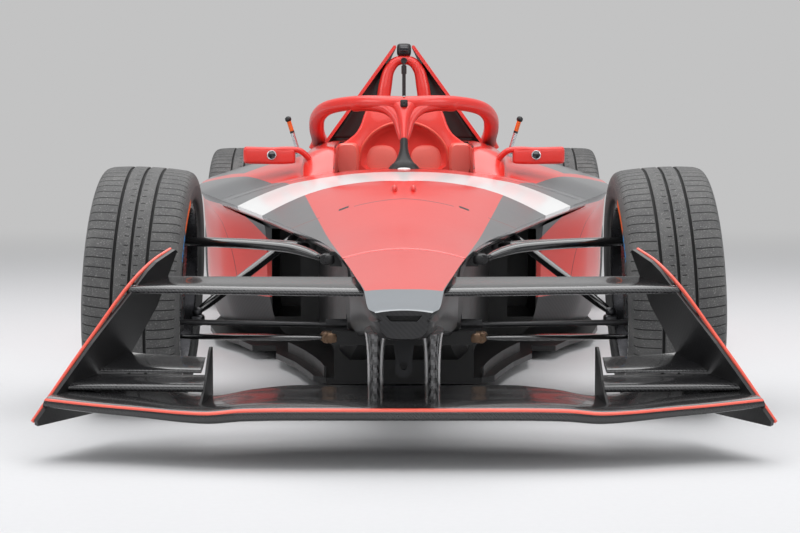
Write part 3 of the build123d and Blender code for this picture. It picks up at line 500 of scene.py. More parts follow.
def bodyMaterial():
    # one painted skin: every colour area is a mask of the place on the car
    material, shader = newMaterial("bodyPaint", "red_paint", Coat_Roughness=.16)
    x, y, z = shader.split(shader.place())
    out, behind = abs(x), y - frontAxle

    def line(value, start, grade):
        return value * grade + start

    def band(start, grade, bend, fall, shoulder):
        return line(shader.math("MINIMUM", out, bend), start, grade) - ((out - shoulder) | 0) * fall

    def near(value, target, half=livery["seam"]):
        return abs(value - target) < half

    def reaches(key):
        return shader.between(behind, *livery[key])

    facing = shader.facing()
    lip = (z > line(behind, *livery["lip"])) & reaches("lipReach")
    chinRear, chinTop = livery["chin"]
    top = ((facing[2] > livery["facingUp"]) | lip) & ~((behind < chinRear) & (z < chinTop))
    cloudy = shader.noise(3.0, 3, .5)
    red = shader.mix(shader.ramp(cloudy, .3, .7, soft=True), colours["red"], (.72, .030, .020, 1))
    ahead = behind < band(*livery["bandRear"])
    out0, behind0, grade = livery["patchInner"]
    inner = out > line(behind - behind0, out0, grade)
    behind0, out0, grade = livery["patchRear"]
    rear = behind < line(out - out0, behind0, grade)
    behind0, out0, grade, inward = livery["tailGrey"]
    tail = (behind > (line(out - out0, behind0, grade) | line(out - out0, behind0, -inward)))
    tail = tail & (out > livery["tailOut"])
    shown = ~ahead & ~((inner & rear) | tail)
    colour = shader.layers(
        red, ((out > line(behind, *livery["redEdge"])) & (behind < livery["redRear"]), colours["grey"]),
        ((behind > band(*livery["bandFront"])) & ahead, colours["white"]),
        (~ahead, shader.mix(shown, colours["grey"], red)),
        (behind < line(out, *livery["noseBorder"]), colours["silver"]))
    # flanks: dark cloth under the crease as far as the inlets, red on the pods above their feet, and
    # near-black painted shade inside the ducts
    podFront, podInner = livery["podFront"]
    flankRed = (behind > podFront) & (z > line(behind, *livery["flankFoot"])) & (out > podInner)
    height0, out0, grade, reach = livery["flankGrey"]
    greyTip = (z > line(out - out0, height0, grade)) & (out < reach) & reaches("greyReach")
    cloth = shader.group(carbonTwill, Tow=.003, Pale=(.014, .014, .016, 1), Dark=(.006, .006, .007, 1))
    flank = shader.layers(cloth["Colour"], (flankRed, (.66, .040, .030, 1)), (greyTip, colours["grey"]))
    # painted shade: the rolled edge under the crease is painted black for the shadow the crease casts, except
    # where the white band wraps over it
    creaseShade = lip & (facing[2] < livery["facingUp"]) & reaches("creaseShadeReach") & ~reaches("wrapReach")
    # painted shade: the inlet ducts are painted near-black and lose their coat, standing in for the shade
    # inside them
    duct = (out < livery["inletOut"]) & (z < livery["ductTop"]) & reaches("ductReach")
    # the cockpit's inner sides are red too
    sideOut, sideFoot = livery["cockpit"]
    inside = (out < sideOut) & (z > sideFoot) & reaches("cockpitReach")
    painted = top | flankRed | greyTip | inside
    # panel joints, and painted shade in small slits: the openings' dark is painted black
    start, grade, reach = livery["chevron"]
    joint0, out0, outGrade = livery["joint"]
    behind1, height1, slope, bow = livery["curve"]
    rise = z - height1
    curve = line(rise * rise, behind1, bow) + rise * slope
    joints = ((near(behind, line(out, start, -grade), livery["wideSeam"]) & (out < reach) & top)
              | (near(behind, line(out - out0, joint0, outGrade), livery["wideSeam"]) & (out > out0) & top)
              | (near(behind, curve) & ~top & flankRed) | (near(behind, livery["podJoint"]) & flankRed)
              | (near(behind, livery["deckJoint"]) & top))
    # painted shade: each slit is painted black for the dark inside the opening
    out0, behind0, reach, half = livery["slitShade"]
    slitShade = (abs((behind - behind0) + (out - out0) * .45) < half) & near(out, out0, reach) & top
    colour = shader.layers(shader.mix(top, flank, colour), (creaseShade, colours["black"]), (duct, livery["duct"]),
                           (inside, red), (joints, livery["seamColour"]), (slitShade, colours["black"]))
    rough = shader.ramp(cloudy, .2, .8, .36, .30)
    dusty = shader.group(workshopDust, Colour=colour, Amount=.03, Roughness=rough)
    shader.feed(shader.surface.inputs["Coat Weight"], (painted - duct - slitShade) * .75)
    shader.finish(dusty, shader.noise(340.0, 2, .5) * .04 - (joints | slitShade), .6, .0008)
    return material


# tread features as shares of the half width or of the blocks' pitch; bars as depths under the tread and turns
rubber = {
    "treadDeep": .045, "blocks": 78, "slant": .004, "cut": .055, "shortCut": .05, "shoulder": (.56, .93),
    "outerSipes": (.38, .62), "innerSipes": (.07, .16), "channelReach": .76, "channelDeep": (.0016, .02),
    "crownDrop": .0055, "crownReach": .79, "crownPower": 2.2, "blocksInBar": 75, "barGap": .22,
    "outerRings": (.082, .058), "innerRings": (.084, .047), "innerWhiteRings": (.080, .060),
    "repeats": 3, "shift": .15, "outerWhite": (.10, .34), "outerOrange": (.37, .41), "outerBlue": (.43, .53),
    "innerWhite": (-.46, -.30), "innerOrange": (.325, .395), "innerBlue": (.402, .446),
    "barWhite": (.55, .55, .54, 1),
}


def tyreMaterial(name, centre, camber, side, radius, halfWidth):
    # tread blocks, painted shade in the side slits, sipes and channels, scrubbed specks and a lighter tread
    # that is partly painted sheen, and plain coloured bars on the walls, all about the axle
    material, shader = newMaterial(name, "tyre", Specular_IOR_Level=.35)
    between = shader.between

    def fraction(value):
        return shader.math("FRACT", value)

    def rings(key):
        deep, shallow = rubber[key]
        return between(ring, radius - deep, radius - shallow)

    local = shader.node("ShaderNodeMapping", vector_type="TEXTURE", feeds={
        "Vector": shader.place(), "Location": centre, "Rotation": (0, -side * camber, 0)})
    out, y, z = shader.split(local.outputs[0])
    outward = out * side
    ring = shader.math("SQRT", y * y + z * z)
    turn = shader.math("ARCTAN2", z, y) / (2 * pi)
    across = outward / halfWidth
    aside = abs(across)
    onTread = ring > radius - rubber["treadDeep"]
    pitch = fraction((turn + aside * rubber["slant"]) * rubber["blocks"])
    cut = abs(pitch - .5) < rubber["cut"]
    short = abs(fraction(pitch + .5) - .5) < rubber["shortCut"]
    slits = onTread & cut & between(aside, *rubber["shoulder"])
    outerSipes = between(aside, *rubber["outerSipes"]) & cut
    sipes = onTread & (outerSipes | (between(aside, *rubber["innerSipes"]) & short))
    # painted shade: the channels' floors, deeper than the crown's curve by a few millimetres, are painted
    # near-black, as are the slits and sipes
    sunk = radius - (aside / rubber["crownReach"]) ** rubber["crownPower"] * rubber["crownDrop"] - ring
    gapShade = slits | sipes | (between(sunk, *rubber["channelDeep"]) & (aside < rubber["channelReach"]))
    # partly scrubbed rubber and dust, partly painted sheen: cloudy patches and specks lighten the tread
    # towards a pale grey
    speck = shader.ramp(shader.noise(330.0, 2, .5), .60, .66)
    cloud = shader.ramp(shader.noise(14.0, 5, .65), .35, .7)
    worn = shader.mix((cloud * .40 + speck * .85) * onTread, colours["rubber"], colours["rubberScrubAndSheen"])
    # bars on both walls: a few arcs of white, orange and blue between two rings
    outer = ~onTread & (outward > 0) & rings("outerRings")
    inner = ~onTread & (outward < 0) & rings("innerRings")
    bars = fraction(turn * rubber["repeats"] + rubber["shift"])
    stroke = fraction(turn * rubber["blocksInBar"]) > rubber["barGap"]

    def barsOf(colour):
        onOuter, onInner = rubber[f"outer{colour}"], rubber[f"inner{colour}"]
        return outer & between(bars, *onOuter), inner & between(turn, *onInner)

    outerWhite, innerWhite = barsOf("White")
    outerOrange, innerOrange = barsOf("Orange")
    outerBlue, innerBlue = barsOf("Blue")
    white = (outerWhite & stroke) | (innerWhite & stroke & rings("innerWhiteRings"))
    colour = shader.layers(worn, (gapShade, colours["rubberGapShade"]), (white, rubber["barWhite"]),
                           (outerOrange | innerOrange, colours["orange"]),
                           (outerBlue | (innerBlue & stroke), colours["blue"]))
    height = shader.noise(500.0, 3, .6) * .12 - gapShade + shader.ribs(ring, .00375) * .12 * ~onTread
    shader.finish({"Colour": colour, "Roughness": shader.ramp(cloud, 0, 1, .62, .80)}, height, .9, .003)
    return material


redPaint = paintMaterial("redPaint", colours["red"])
bodyPaint = bodyMaterial()
edgePaint = paintMaterial("edgePaint", colours["pink"], .36)
# painted light: a lighter copy of the red for the head surround, which sits in shade
headRedPaintedLight = paintMaterial("headRedPaintedLight", (.84, .055, .042, 1))
# painted light: a pale pink copy of the red for the head's side pads, for the light falling on them
sidePadPaintedLight = paintMaterial("sidePadPaintedLight", (.93, .150, .115, 1), .40)
whitePaint = paintMaterial("whitePaint", colours["white"], .3)
glossCarbon = carbonMaterial("glossCarbon")
darkCarbon = carbonMaterial("darkCarbon", .0022, .45, .04, (.010, .010, .011, 1), (.005, .005, .005, 1), .12)
planeCarbon = carbonMaterial("planeCarbon", .0020, .24, .6, (.020, .020, .021, 1), (.013, .013, .014, 1), .12)
pylonCarbon = carbonMaterial("pylonCarbon", .0060, .26, .8, (.085, .085, .088, 1), (.010, .010, .011, 1), .30)
armCarbon = carbonMaterial("armCarbon", .0020, .14, 1.0, (.014, .014, .015, 1), (.006, .006, .007, 1),
                           strength=.12, dust=.02)
towMetal = metalMaterial("towMetal", (.045, .045, .047, 1), .45, (.20, .20, .20, 1), .2)
steelMetal = metalMaterial("steelMetal", (.36, .36, .37, 1), .34)
alloyMetal = metalMaterial("alloyMetal", (.62, .63, .65, 1), .28, slot="aluminium")
bronzeMetal = metalMaterial("bronzeMetal", colours["bronze"], .45)
rimMetal = metalMaterial("rimMetal", (.035, .035, .038, 1), .30, (.25, .25, .25, 1), .3, "rim")
discMetal = metalMaterial("discMetal", (.10, .10, .105, 1), .42)
mirrorGlass = metalMaterial("mirrorGlass", (.70, .72, .74, 1), .05, amount=.05, slot="aluminium")
blackPlastic = plasticMaterial("blackPlastic", colours["black"])
orangePlastic = plasticMaterial("orangePlastic", colours["orange"], .4)
bluePlastic = plasticMaterial("bluePlastic", colours["blue"], .4)
# painted light: a light salmon for the pads in the head bowl, standing in for the light that washes over them
headPadPaintedLight = plasticMaterial("headPadPaintedLight", (.94, .190, .150, 1), .55, 500.0, .2, "red_paint")
lensRed = glassMaterial("lensRed", (.45, .008, .006, 1), "red_lens")
lensDark = glassMaterial("lensDark", (.012, .014, .018, 1), "black_plastic")
print("materials ready")

# the CAD nodes that stay take a finish


def finishNodes(finish, nodes):
    # one finish on each CAD node that the words name
    for node in nodes.split():
        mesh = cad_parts[node].data
        mesh.materials.clear()
        mesh.materials.append(finish)


for finish, nodes in (
        (redPaint, "halo headrest roll_hoop hoop_fins mirrors rear_endplates"),
        (bodyPaint, "nose_cone side_pod_left side_pod_right rear_cover"),
        (darkCarbon, "survival_cell floor diffuser crash_structure seat drive_unit battery_block"),
        (glossCarbon, "front_wing_main front_wing_upper wing_flaps rear_wing"),
        (armCarbon, "front_upper_arms front_lower_arms front_pushrods rear_arms"),
        (towMetal, "tow_eye steering_rack"), (steelMetal, "half_shaft_left half_shaft_right"),
        (alloyMetal, "aerial_rods rear_hubs upright_front_left upright_front_right"),
        (blackPlastic,
         "apex_pod steering_wheel tyre_front_left tyre_front_right tyre_rear_left tyre_rear_right"),
        (rimMetal, "rim_front_left rim_front_right rim_rear_left rim_rear_right"), (lensRed, "rain_light")):
    finishNodes(finish, nodes)
print("CAD nodes finished")

# painted skins. Rows: behind the front axle, half width, top, crease, flank half width, underside
body = {
    "rows": [(-.975, .062, .358, .352, .056, .292), (-.945, .078, .363, .356, .066, .288),
             (-.800, .092, .391, .384, .080, .278), (-.620, .116, .416, .402, .100, .268),
             (-.350, .155, .450, .426, .140, .236), (-.200, .182, .470, .438, .152, .215),
             (0, .228, .497, .450, .164, .158), (.220, .296, .534, .463, .192, .092),
             (.420, .357, .568, .474, .208, .048), (.650, .434, .603, .489, .224, .048),
             (.900, .528, .622, .507, .250, .048), (1.150, .620, .632, .522, .290, .048)],
    "bulkhead": -.350, "cockpitFront": 1.085, "cockpitRear": 1.740, "podFront": 1.150, "tubRear": 1.900,
    "cockpitHalf": .2335, "cellHalf": .3465, "proud": .0025, "wall": .0012,
    "slot": {"half": .040, "narrow": .029, "top": .345, "low": .332, "depth": .030, "soft": .006},
    # behind the front axle, inner edge's height, shoulder's and outer edge's
    "rim": [(1.112, .596, .594, .580), (1.152, .631, .630, .592), (1.280, .7015, .7015, .6655),
            (1.900, .7215, .7215, .6935)],
}


def wholeRing(halfX, halfZ, behind):
    # a left half outline from the top middle to the bottom middle, with its mirror image, as closed rings
    return ringsAt(np.hstack([halfX, -halfX[:, -2:0:-1]]), np.hstack([halfZ, halfZ[:, -2:0:-1]]), behind)


def creasedHalf(behind):
    # crown: z = crease + (top - crease)(1 - u^2); then the lip, the hollow flank and the rounded keel
    width, top, crease, flank, low = rowValues(body["rows"], behind)
    u = np.linspace(0, 1, 14)[None] ** .85
    lip = np.minimum(.010, .12 * width)
    shoulder = np.maximum(crease - .066, low + .040)
    t = np.linspace(0, 1, 6)[None]
    flankX = (width - lip) + (flank - width + lip) * t - .006 * np.sin(pi * t)
    flankZ = (crease - .014) + (shoulder - crease + .014) * t
    x = [width * u, width - lip * .25, flankX, flank - .003, flank - .006, flank - .018, flank - .036,
         flank * .5 - .018, 0 * flank]
    z = [crease + (top - crease) * (1 - u ** 2), crease - .006, flankZ, low + .034, low + .018, low + .004,
         low, low, low]
    return np.hstack(x), np.hstack(z)


def makeNose():
    # smooth nose box; the front ring folds in to the mouth of a shallow duct
    slot, tip = body["slot"], body["rows"][0][0]
    behind = np.concatenate([[tip + slot["soft"]], np.linspace(-.960, body["bulkhead"], 44)])
    rings = wholeRing(*creasedHalf(behind), behind)
    middle = np.array([0, 0, .325])
    face = middle + (rings[:1] - middle) * [.95, 1, .93]
    face[..., 1] = frontAxle + tip
    mouth = face.copy()
    mouth[..., 2] = np.clip(mouth[..., 2], slot["low"], slot["top"])
    rise = (mouth[..., 2] - slot["low"]) / (slot["top"] - slot["low"])
    taper = slot["narrow"] + (slot["half"] - slot["narrow"]) * rise
    mouth[..., 0] = np.clip(mouth[..., 0], -taper, taper)
    shell = loftOf(np.concatenate([mouth + [0, slot["depth"], 0], mouth, face, rings]))
    addPiece("noseBox", [shell], bodyPaint, ["nose_cone"], smooth=32)


def makeCellSkin():
    # crown and lip over the survival cell, open over the cockpit
    def crown(start, end, count, innerX):
        behind = np.linspace(start, end, count)
        width, top, crease = rowValues(body["rows"], behind)[:3]
        proud = body["proud"] * np.clip((behind[:, None] - body["bulkhead"]) / .08, .05, 1)
        x = innerX + (width - innerX) * np.linspace(0, 1, 22)[None]
        z = crease + (top - crease) * (1 - (x / width) ** 2) + proud * .6
        x = np.hstack([x[:, :-1], width + proud, width + proud * .4, width - .009])
        z = np.hstack([z[:, :-1], crease + .001, crease - .008, crease - .020])
        return sheetOf(ringsAt(x, z, behind))

    parts = pair(crown(body["bulkhead"], body["cockpitFront"], 56, 0),
                 crown(body["cockpitFront"], body["podFront"], 5, body["cockpitHalf"]))
    addPiece("cellSkin", parts, bodyPaint, smooth=32, wall=body["wall"])


def makeCockpitRim():
    # rolled rim beside the driver, and the deck behind the headrest
    def rim(start, end, count, innerX, drop):
        behind = np.linspace(start, end, count)
        inner, shoulder, edge = rowValues(body["rim"], behind)
        half, bend = body["cellHalf"], shoulder - edge
        x = [innerX, innerX, innerX + .006, .262, .290, .318, half - .008, half, half]
        z = [inner - drop, inner - min(drop, .008), inner, shoulder, shoulder - bend * .22,
             shoulder - bend * .52, edge + bend * .12, edge - .008, edge - .045]
        return sheetOf(ringsAt(np.tile(x, (count, 1)), np.hstack(z), behind))

    parts = pair(rim(body["rim"][0][0], body["cockpitRear"], 44, body["cockpitHalf"], .13),
                 rim(body["cockpitRear"], body["tubRear"], 8, 0, 0))
    addPiece("cockpitRim", parts, bodyPaint, smooth=40, wall=body["wall"])


# Rows: behind the front axle, height at the cell, crease out, crease height, belt out, foot out
pod = {
    "rows": [(1.150, .588, .620, .522, .462, .432), (1.350, .646, .708, .546, .640, .600),
             (1.600, .668, .738, .563, .712, .680), (2.000, .680, .742, .578, .725, .690),
             (2.350, .668, .650, .590, .630, .595), (2.585, .648, .515, .596, .500, .470)],
    "inner": .345, "floor": .048, "inlet": (.350, .446, .126, .424), "inletDepth": .380, "bulge": .010,
}


def makePods():
    # top bulges a little between the cell and the crease; the flank bends in to the belt and the foot
    behind = np.concatenate([np.linspace(1.150, 1.350, 14), np.linspace(1.375, 2.585, 36)])
    cellZ, creaseX, creaseZ, belt, foot = rowValues(pod["rows"], behind)
    inner, one = pod["inner"], np.ones_like(belt)
    t, low = np.linspace(0, 1, 12)[None], np.linspace(1, 0, 5)[None, 1:]
    knotsX = [creaseX - .012, belt + .010, belt + .002, belt, (belt + foot) / 2 + .004, foot, foot - .05]
    knotsZ = [creaseZ - .024, *(height * one for height in (.440, .345, .250, .175, .105, .048))]
    shape = np.stack([np.hstack(knotsX).T, np.hstack(knotsZ).T], -1).reshape(7, -1)
    flank = easeThrough(np.arange(7), shape, np.linspace(0, 6, 25)).reshape(25, -1, 2).transpose(1, 0, 2)
    x = [inner + (creaseX - inner) * t, creaseX - .004, flank[..., 0], inner + (foot - .05 - inner) * low,
         inner * one]
    z = [cellZ + (creaseZ - cellZ) * t + pod["bulge"] * np.sin(pi * t), creaseZ - .012, flank[..., 1],
         pod["floor"] * one * np.ones(4), .30 * one]
    rings = ringsAt(np.hstack(x), np.hstack(z), behind)
    x0, x1, z0, z1 = pod["inlet"]
    mouth = rings[:1].copy()
    mouth[..., 0] = np.clip(mouth[..., 0], x0, x1)
    mouth[..., 2] = np.clip(mouth[..., 2], z0, z1)
    duct = [mouth + [0, pod["inletDepth"], 0], mouth + [0, .006, 0], mouth]
    for side, shell in zip(sides, pair(loftOf(np.concatenate([*duct, rings])))):
        addPiece(f"podShell_{side}", [shell], bodyPaint, [f"side_pod_{side}"], smooth=34)


# Rows: behind the front axle, ridge, shoulder out, shoulder height, side out, side height, low edge out
cover = {
    "rows": [(1.900, .720, .260, .720, .345, .692, .345), (2.585, .672, .190, .668, .345, .645, .345),
             (2.870, .632, .110, .622, .232, .560, .215), (3.590, .540, .034, .534, .084, .470, .078)],
    "low": .420,
}


def makeRearCover():
    # engine deck: ridge, shoulder and side, eased between the rows
    behind = np.linspace(cover["rows"][0][0], cover["rows"][-1][0], 60)
    ridge, shoulderX, shoulderZ, sideX, sideZ, lowX = rowValues(cover["rows"], behind)
    t, low = np.linspace(0, 1, 9)[None], cover["low"] + 0 * ridge
    inner = t[:, :-1]
    x = [shoulderX * inner, shoulderX + (sideX - shoulderX) * t, sideX, lowX, lowX * .5, 0 * ridge]
    z = [ridge + (shoulderZ - ridge) * inner ** 2 + .006 * np.sin(pi * inner),
         shoulderZ + (sideZ - shoulderZ) * t ** 1.4, sideZ - .02, low, low, low]
    deck = loftOf(wholeRing(np.hstack(x), np.hstack(z), behind))
    addPiece("rearDeck", [deck], bodyPaint, ["rear_cover"], smooth=40)


makeNose()
makeCellSkin()
makeCockpitRim()
makePods()
makeRearCover()
print("skins ready")

# halo, hoop and fins. Post rows: behind the front axle, height, half width, half depth
upY = (0, 1, 0)
halo = {
    "line": [(0, 1.172, .846), (.090, 1.200, .850), (.190, 1.290, .848), (.268, 1.400, .834),
             (.306, 1.520, .806), (.318, 1.650, .766), (.317, 1.800, .724), (.317, 1.850, .702)],
    "wide": .027, "high": .024,
    "post": [(1.056, .600, .058, .052), (1.060, .624, .054, .050), (1.066, .638, .038, .046),
             (1.074, .657, .0255, .042), (1.088, .694, .0140, .037), (1.100, .725, .0130, .034),
             (1.135, .785, .0200, .032), (1.155, .822, .0330, .028), (1.172, .846, .050, .024)],
    "branch": [(.170, 1.262, .847), (.100, 1.204, .842), (.052, 1.172, .826), (.024, 1.150, .796),
               (.008, 1.124, .742), (.002, 1.110, .724)], "split": .720,
    "socket": [(.317, 1.835, .735), (.317, 1.845, .712), (.317, 1.85, .695)],
    # place and half size
    "foot": ((0, 1.058, .602), (.060, .070, .009)), "cap": ((0, 1.006, .626), (.022, .010, .007)),
    "sensor": ((0, 1.1340, .846), (.0125, .012, .0125)), "dot": ((0, 1.158, .8695), (.0045, .0045, .0016)),
    "footScrews": [(.044, 1.02, .610), (.044, 1.09, .610)],
    "endScrews": [(.285, 1.60, .7005), (.300, 1.60, .7005)],
    "eye": [(-.001, .0075), (.003, .0075), (.004, .0055), (.002, .003), (.002, .0004)],
}


def makeHalo():
    # tubes along eased lines; the post's rows give its half width and depth at each height
    line = curveThrough(onCar(acrossCar(np.array(halo["line"])) * [-1, 1, 1]), 91)
    hoopBar = tubeOf(line, halo["wide"], halo["high"], around=28, power=2.2)
    shrink = np.linspace(0, 1, 22)
    branch = curveThrough(onCar(halo["branch"]), len(shrink))
    web = tubeOf(branch, .027 - .013 * shrink, .024 - .010 * shrink, around=24, up=upY)
    post = np.array(halo["post"])
    knots, last = np.arange(len(post)), len(post) - 1
    split = float(np.interp(halo["split"], post[:, 1], knots))

    def pylon(start, end):
        behind, height, wide, deep = easeThrough(knots, post, np.linspace(start, end, 22)).T
        path = onCar(np.stack([0 * behind, behind, height], -1))
        return tubeOf(path, wide, deep, around=32, power=2.2, up=upY)

    addPiece("haloBar", [hoopBar, *pair(web), pylon(split, last)], redPaint, ["halo"], smooth=60)
    addPiece("haloPost", [pylon(0, split)], darkCarbon, smooth=60)
    addPiece("haloFoot", [padAt(*halo["foot"], power=2.6, around=28, rings=9)], darkCarbon)
    addPiece("haloFootCap", [padAt(*halo["cap"], power=3)], whitePaint)
    screws = [boltOf(place, (0, 0, 1)) for place in onCar(halo["footScrews"])]
    screws += [boltOf(place, (0, 0, 1), .0065) for place in onCar(halo["endScrews"])]
    addPiece("haloScrews", pair(*screws), blackPlastic)
    eye = latheOf(halo["eye"], onCar((0, 1.1215, .846)), (0, -1, 0), around=20)
    addPiece("haloSensor", [padAt(*halo["sensor"], power=6), eye], blackPlastic)
    addPiece("haloDot", [padAt(*halo["dot"])], whitePaint)
    socket = tubeOf(onCar(halo["socket"]), [.029, .034, .040], [.026, .031, .040], around=28, up=(1, 0, 0))
    addPiece("haloSockets", pair(socket), redPaint, smooth=60)


hoop = {"behind": 1.768, "radius": (.0165, .0250),
        "line": [(0, 1.0175), (.030, 1.010), (.054, .982), (.068, .930), (.0755, .880), (.084, .800)],
        "port": [(-.002, .0115), (.003, .0115), (.003, .0085), (-.001, .0080), (-.001, .0005)],
        # the stay's rod and cuff: foot, top, rings, radius, points around
        "stayBehind": 1.758, "stays": [(.800, 1.000, 8, .0065, 14), (.965, .995, 4, .0095, 16)]}


def makeHoop():
    # a tube along the hoop's line; radius = thin + (thick - thin) (depth under the top)^.7
    half = onCar([(out, hoop["behind"], height) for out, height in hoop["line"]])
    path = curveThrough(acrossCar(half) * [-1, 1, 1], 61)
    thin, thick = hoop["radius"]
    share = np.clip((half[0, 2] - path[:, 2]) / .10, 0, 1) ** .7
    bar = tubeOf(path, thin + (thick - thin) * share, around=26, up=upY)
    addPiece("rollHoop", [bar], redPaint, ["roll_hoop"], smooth=60)
    port = latheOf(hoop["port"], onCar((0, hoop["behind"] - .0205, 1.013)), (0, -1, 0), 24)
    stays = []
    for low, high, count, radius, around in hoop["stays"]:
        path = onCar([(0, hoop["stayBehind"], z) for z in np.linspace(low, high, count)])
        stays.append(tubeOf(path, radius, around=around, up=upY))
    addPiece("hoopStay", [port, *stays], blackPlastic, smooth=50)


# Rows: behind the front axle, foot out, foot height, top out, top height
fins = {
    "rows": [(1.752, .281, .723, .033, 1.066), (1.900, .262, .716, .066, 1.002),
             (2.100, .238, .708, .086, .962), (2.400, .200, .692, .108, .896),
             (2.900, .128, .655, .080, .768), (3.480, .044, .566, .030, .596)], "wall": .012, "top": 1.072,
}


def makeFins():
    # each fin leans in: outer face, rounded top, inner face; eased from row to row
    behind = np.linspace(fins["rows"][0][0], fins["rows"][-1][0], 70)
    baseX, baseZ, topX, topZ = rowValues(fins["rows"], behind)
    t = np.linspace(-.03, 1, 12)[None]
    leanX, leanZ = topX - baseX, topZ - baseZ
    length = np.sqrt(leanX ** 2 + leanZ ** 2)
    offX, offZ = leanZ / length * fins["wall"] / 2, -leanX / length * fins["wall"] / 2
    x = np.hstack([baseX + leanX * t + offX, topX + leanX * .010, (baseX + leanX * t - offX)[:, ::-1]])
    z = np.hstack([baseZ + leanZ * t + offZ, topZ + leanZ * .010, (baseZ + leanZ * t - offZ)[:, ::-1]])
    panels = pair(loftOf(ringsAt(x, np.minimum(z, fins["top"]), behind)))
    addPiece("hoopFinPanels", panels, [redPaint, darkCarbon], ["hoop_fins"], smooth=50,
             paint=lambda centre, normal: np.where(normal[:, 0] * np.sign(centre[:, 0]) < -.2, 1, 0))
    # dark web from the hoop's side to the fin
    height = np.linspace(.728, 1.004, 30)[:, None]
    line = np.array(hoop["line"])[::-1]
    hoopSide = easeThrough(line[:, 1], line[:, :1], height[:, 0])
    footX, footZ, peakX, peakZ = fins["rows"][0][1:]
    finSide = footX + (peakX - footX) * (height - footZ) / (peakZ - footZ) - .004
    u = np.linspace(0, 1, 8)[None]
    webY = frontAxle + 1.775 + .012 * np.sin(pi * u) + 0 * height
    web = np.stack([hoopSide + (finSide - hoopSide) * u, webY, height + 0 * u], -1)
    addPiece("finWebs", pair(sheetOf(web)), darkCarbon, wall=.003)
    middle, half = boxOf("apex_pod")
    camera = padOf(middle, half * .98, power=4.5, around=24, rings=14)
    window = padOf([0, middle[1] - half[1] + .002, middle[2] + .004], (.016, .006, .012), power=5)
    addPiece("apexHousing", [camera], blackPlastic, ["apex_pod"], smooth=60)
    addPiece("apexWindow", [window], lensDark)


makeHalo()
makeHoop()
makeFins()
print("halo, hoop and fins ready")

# wheels
wheel = {
    "front": {"radius": .325, "width": .255, "camber": radians(3.0)},
    "rear": {"radius": .340, "width": .305, "camber": radians(1.5)},
    "bead": .2295, "rimInside": .2195, "grooves": (-.34, 0.0, .34), "grooveDepth": .0055, "grooveHalf": .0035,
    "spokes": 10, "pegs": 6, "pegRadius": .062, "valveRadius": .2155,
    "shroudScrews": 10, "shroudScrewRadius": .178,
    # places across the tyre as shares of its width, radius less the tread's
    "wall": [(.482, .082), (.497, .066), (.4985, .052), (.492, .036), (.470, .019), (.440, .0105),
             (.395, .0060)],
    # profiles: place along the axle from the wheel's middle, radius
    "hub": [(.018, .031), (.018, .074), (.030, .0785), (.044, .0765), (.049, .070), (.050, .052),
            (.056, .046), (.057, .037), (.050, .0335), (.020, .0310)],
    "nut": [(.046, .0325), (.076, .0315), (.080, .029), (.080, .020), (.072, .0185), (.070, .0165),
            (.046, .0165)],
    "core": [(.050, .0160), (.070, .0160), (.074, .0130), (.074, .0070), (.066, .0065), (.066, .0005),
             (.050, .0005)],
    "drum": [(-.046, .070), (-.050, .120), (-.046, .196), (-.040, .200), (-.012, .200), (-.006, .196),
             (-.002, .150), (-.004, .088), (-.012, .080), (-.030, .076)],
}
forward = np.array([0, 1.0, 0])


def wheelFrame(place, side):
    # a wheel's centre, its axle, which leans with the camber, and the way up along the wheel
    camber, sign = wheel[place]["camber"], sides[side]
    axle = np.array([sign * cos(camber), 0, sin(camber)])
    return boxOf(f"rim_{place}_{side}")[0], axle, np.cross(axle, forward) * sign


def spread(count, first=0.0):
    # evenly spread angles of screws, pegs and spokes
    return [2 * pi * index / count + first for index in range(count)]


def tyreProfile(radius, width):
    # across the tread and down both walls; grooves are smooth channels, depth * exp(-(d / half)^6)
    wall = [(.43, wheel["bead"] - .001), (.452, wheel["bead"] + .010)]
    wall += [(share, radius - drop) for share, drop in wheel["wall"]]
    wall = np.array(wall) * [width, 1]
    right = easeThrough(np.arange(len(wall)), wall, np.linspace(0, len(wall) - 1, 34))
    across = np.linspace(-.385, .385, 109) * width
    crown = radius - .0055 * (np.abs(across) / (.395 * width)) ** 2.2
    for groove in wheel["grooves"]:
        depth = wheel["grooveDepth"] * np.exp(-((across - groove * width / 2) / wheel["grooveHalf"]) ** 6)
        crown = crown - depth
    return np.concatenate([right, np.stack([across, crown], -1)[::-1], right[::-1] * [-1, 1]])


def makeTyre(place, side):
    # the profile across the tyre, turned about the leaning axle
    spec, (centre, axle) = wheel[place], wheelFrame(place, side)[:2]
    name = f"{place}_{side}"
    radius, width = spec["radius"], spec["width"]
    finish = tyreMaterial(f"tyreRubber_{name}", centre, spec["camber"], sides[side], radius, width / 2)
    tread = latheOf(tyreProfile(radius, width), centre, axle, around=288)
    addPiece(f"tyre_{name}_tread", [tread], finish, [f"tyre_{name}"], smooth=60, body=f"wheel_{name}")


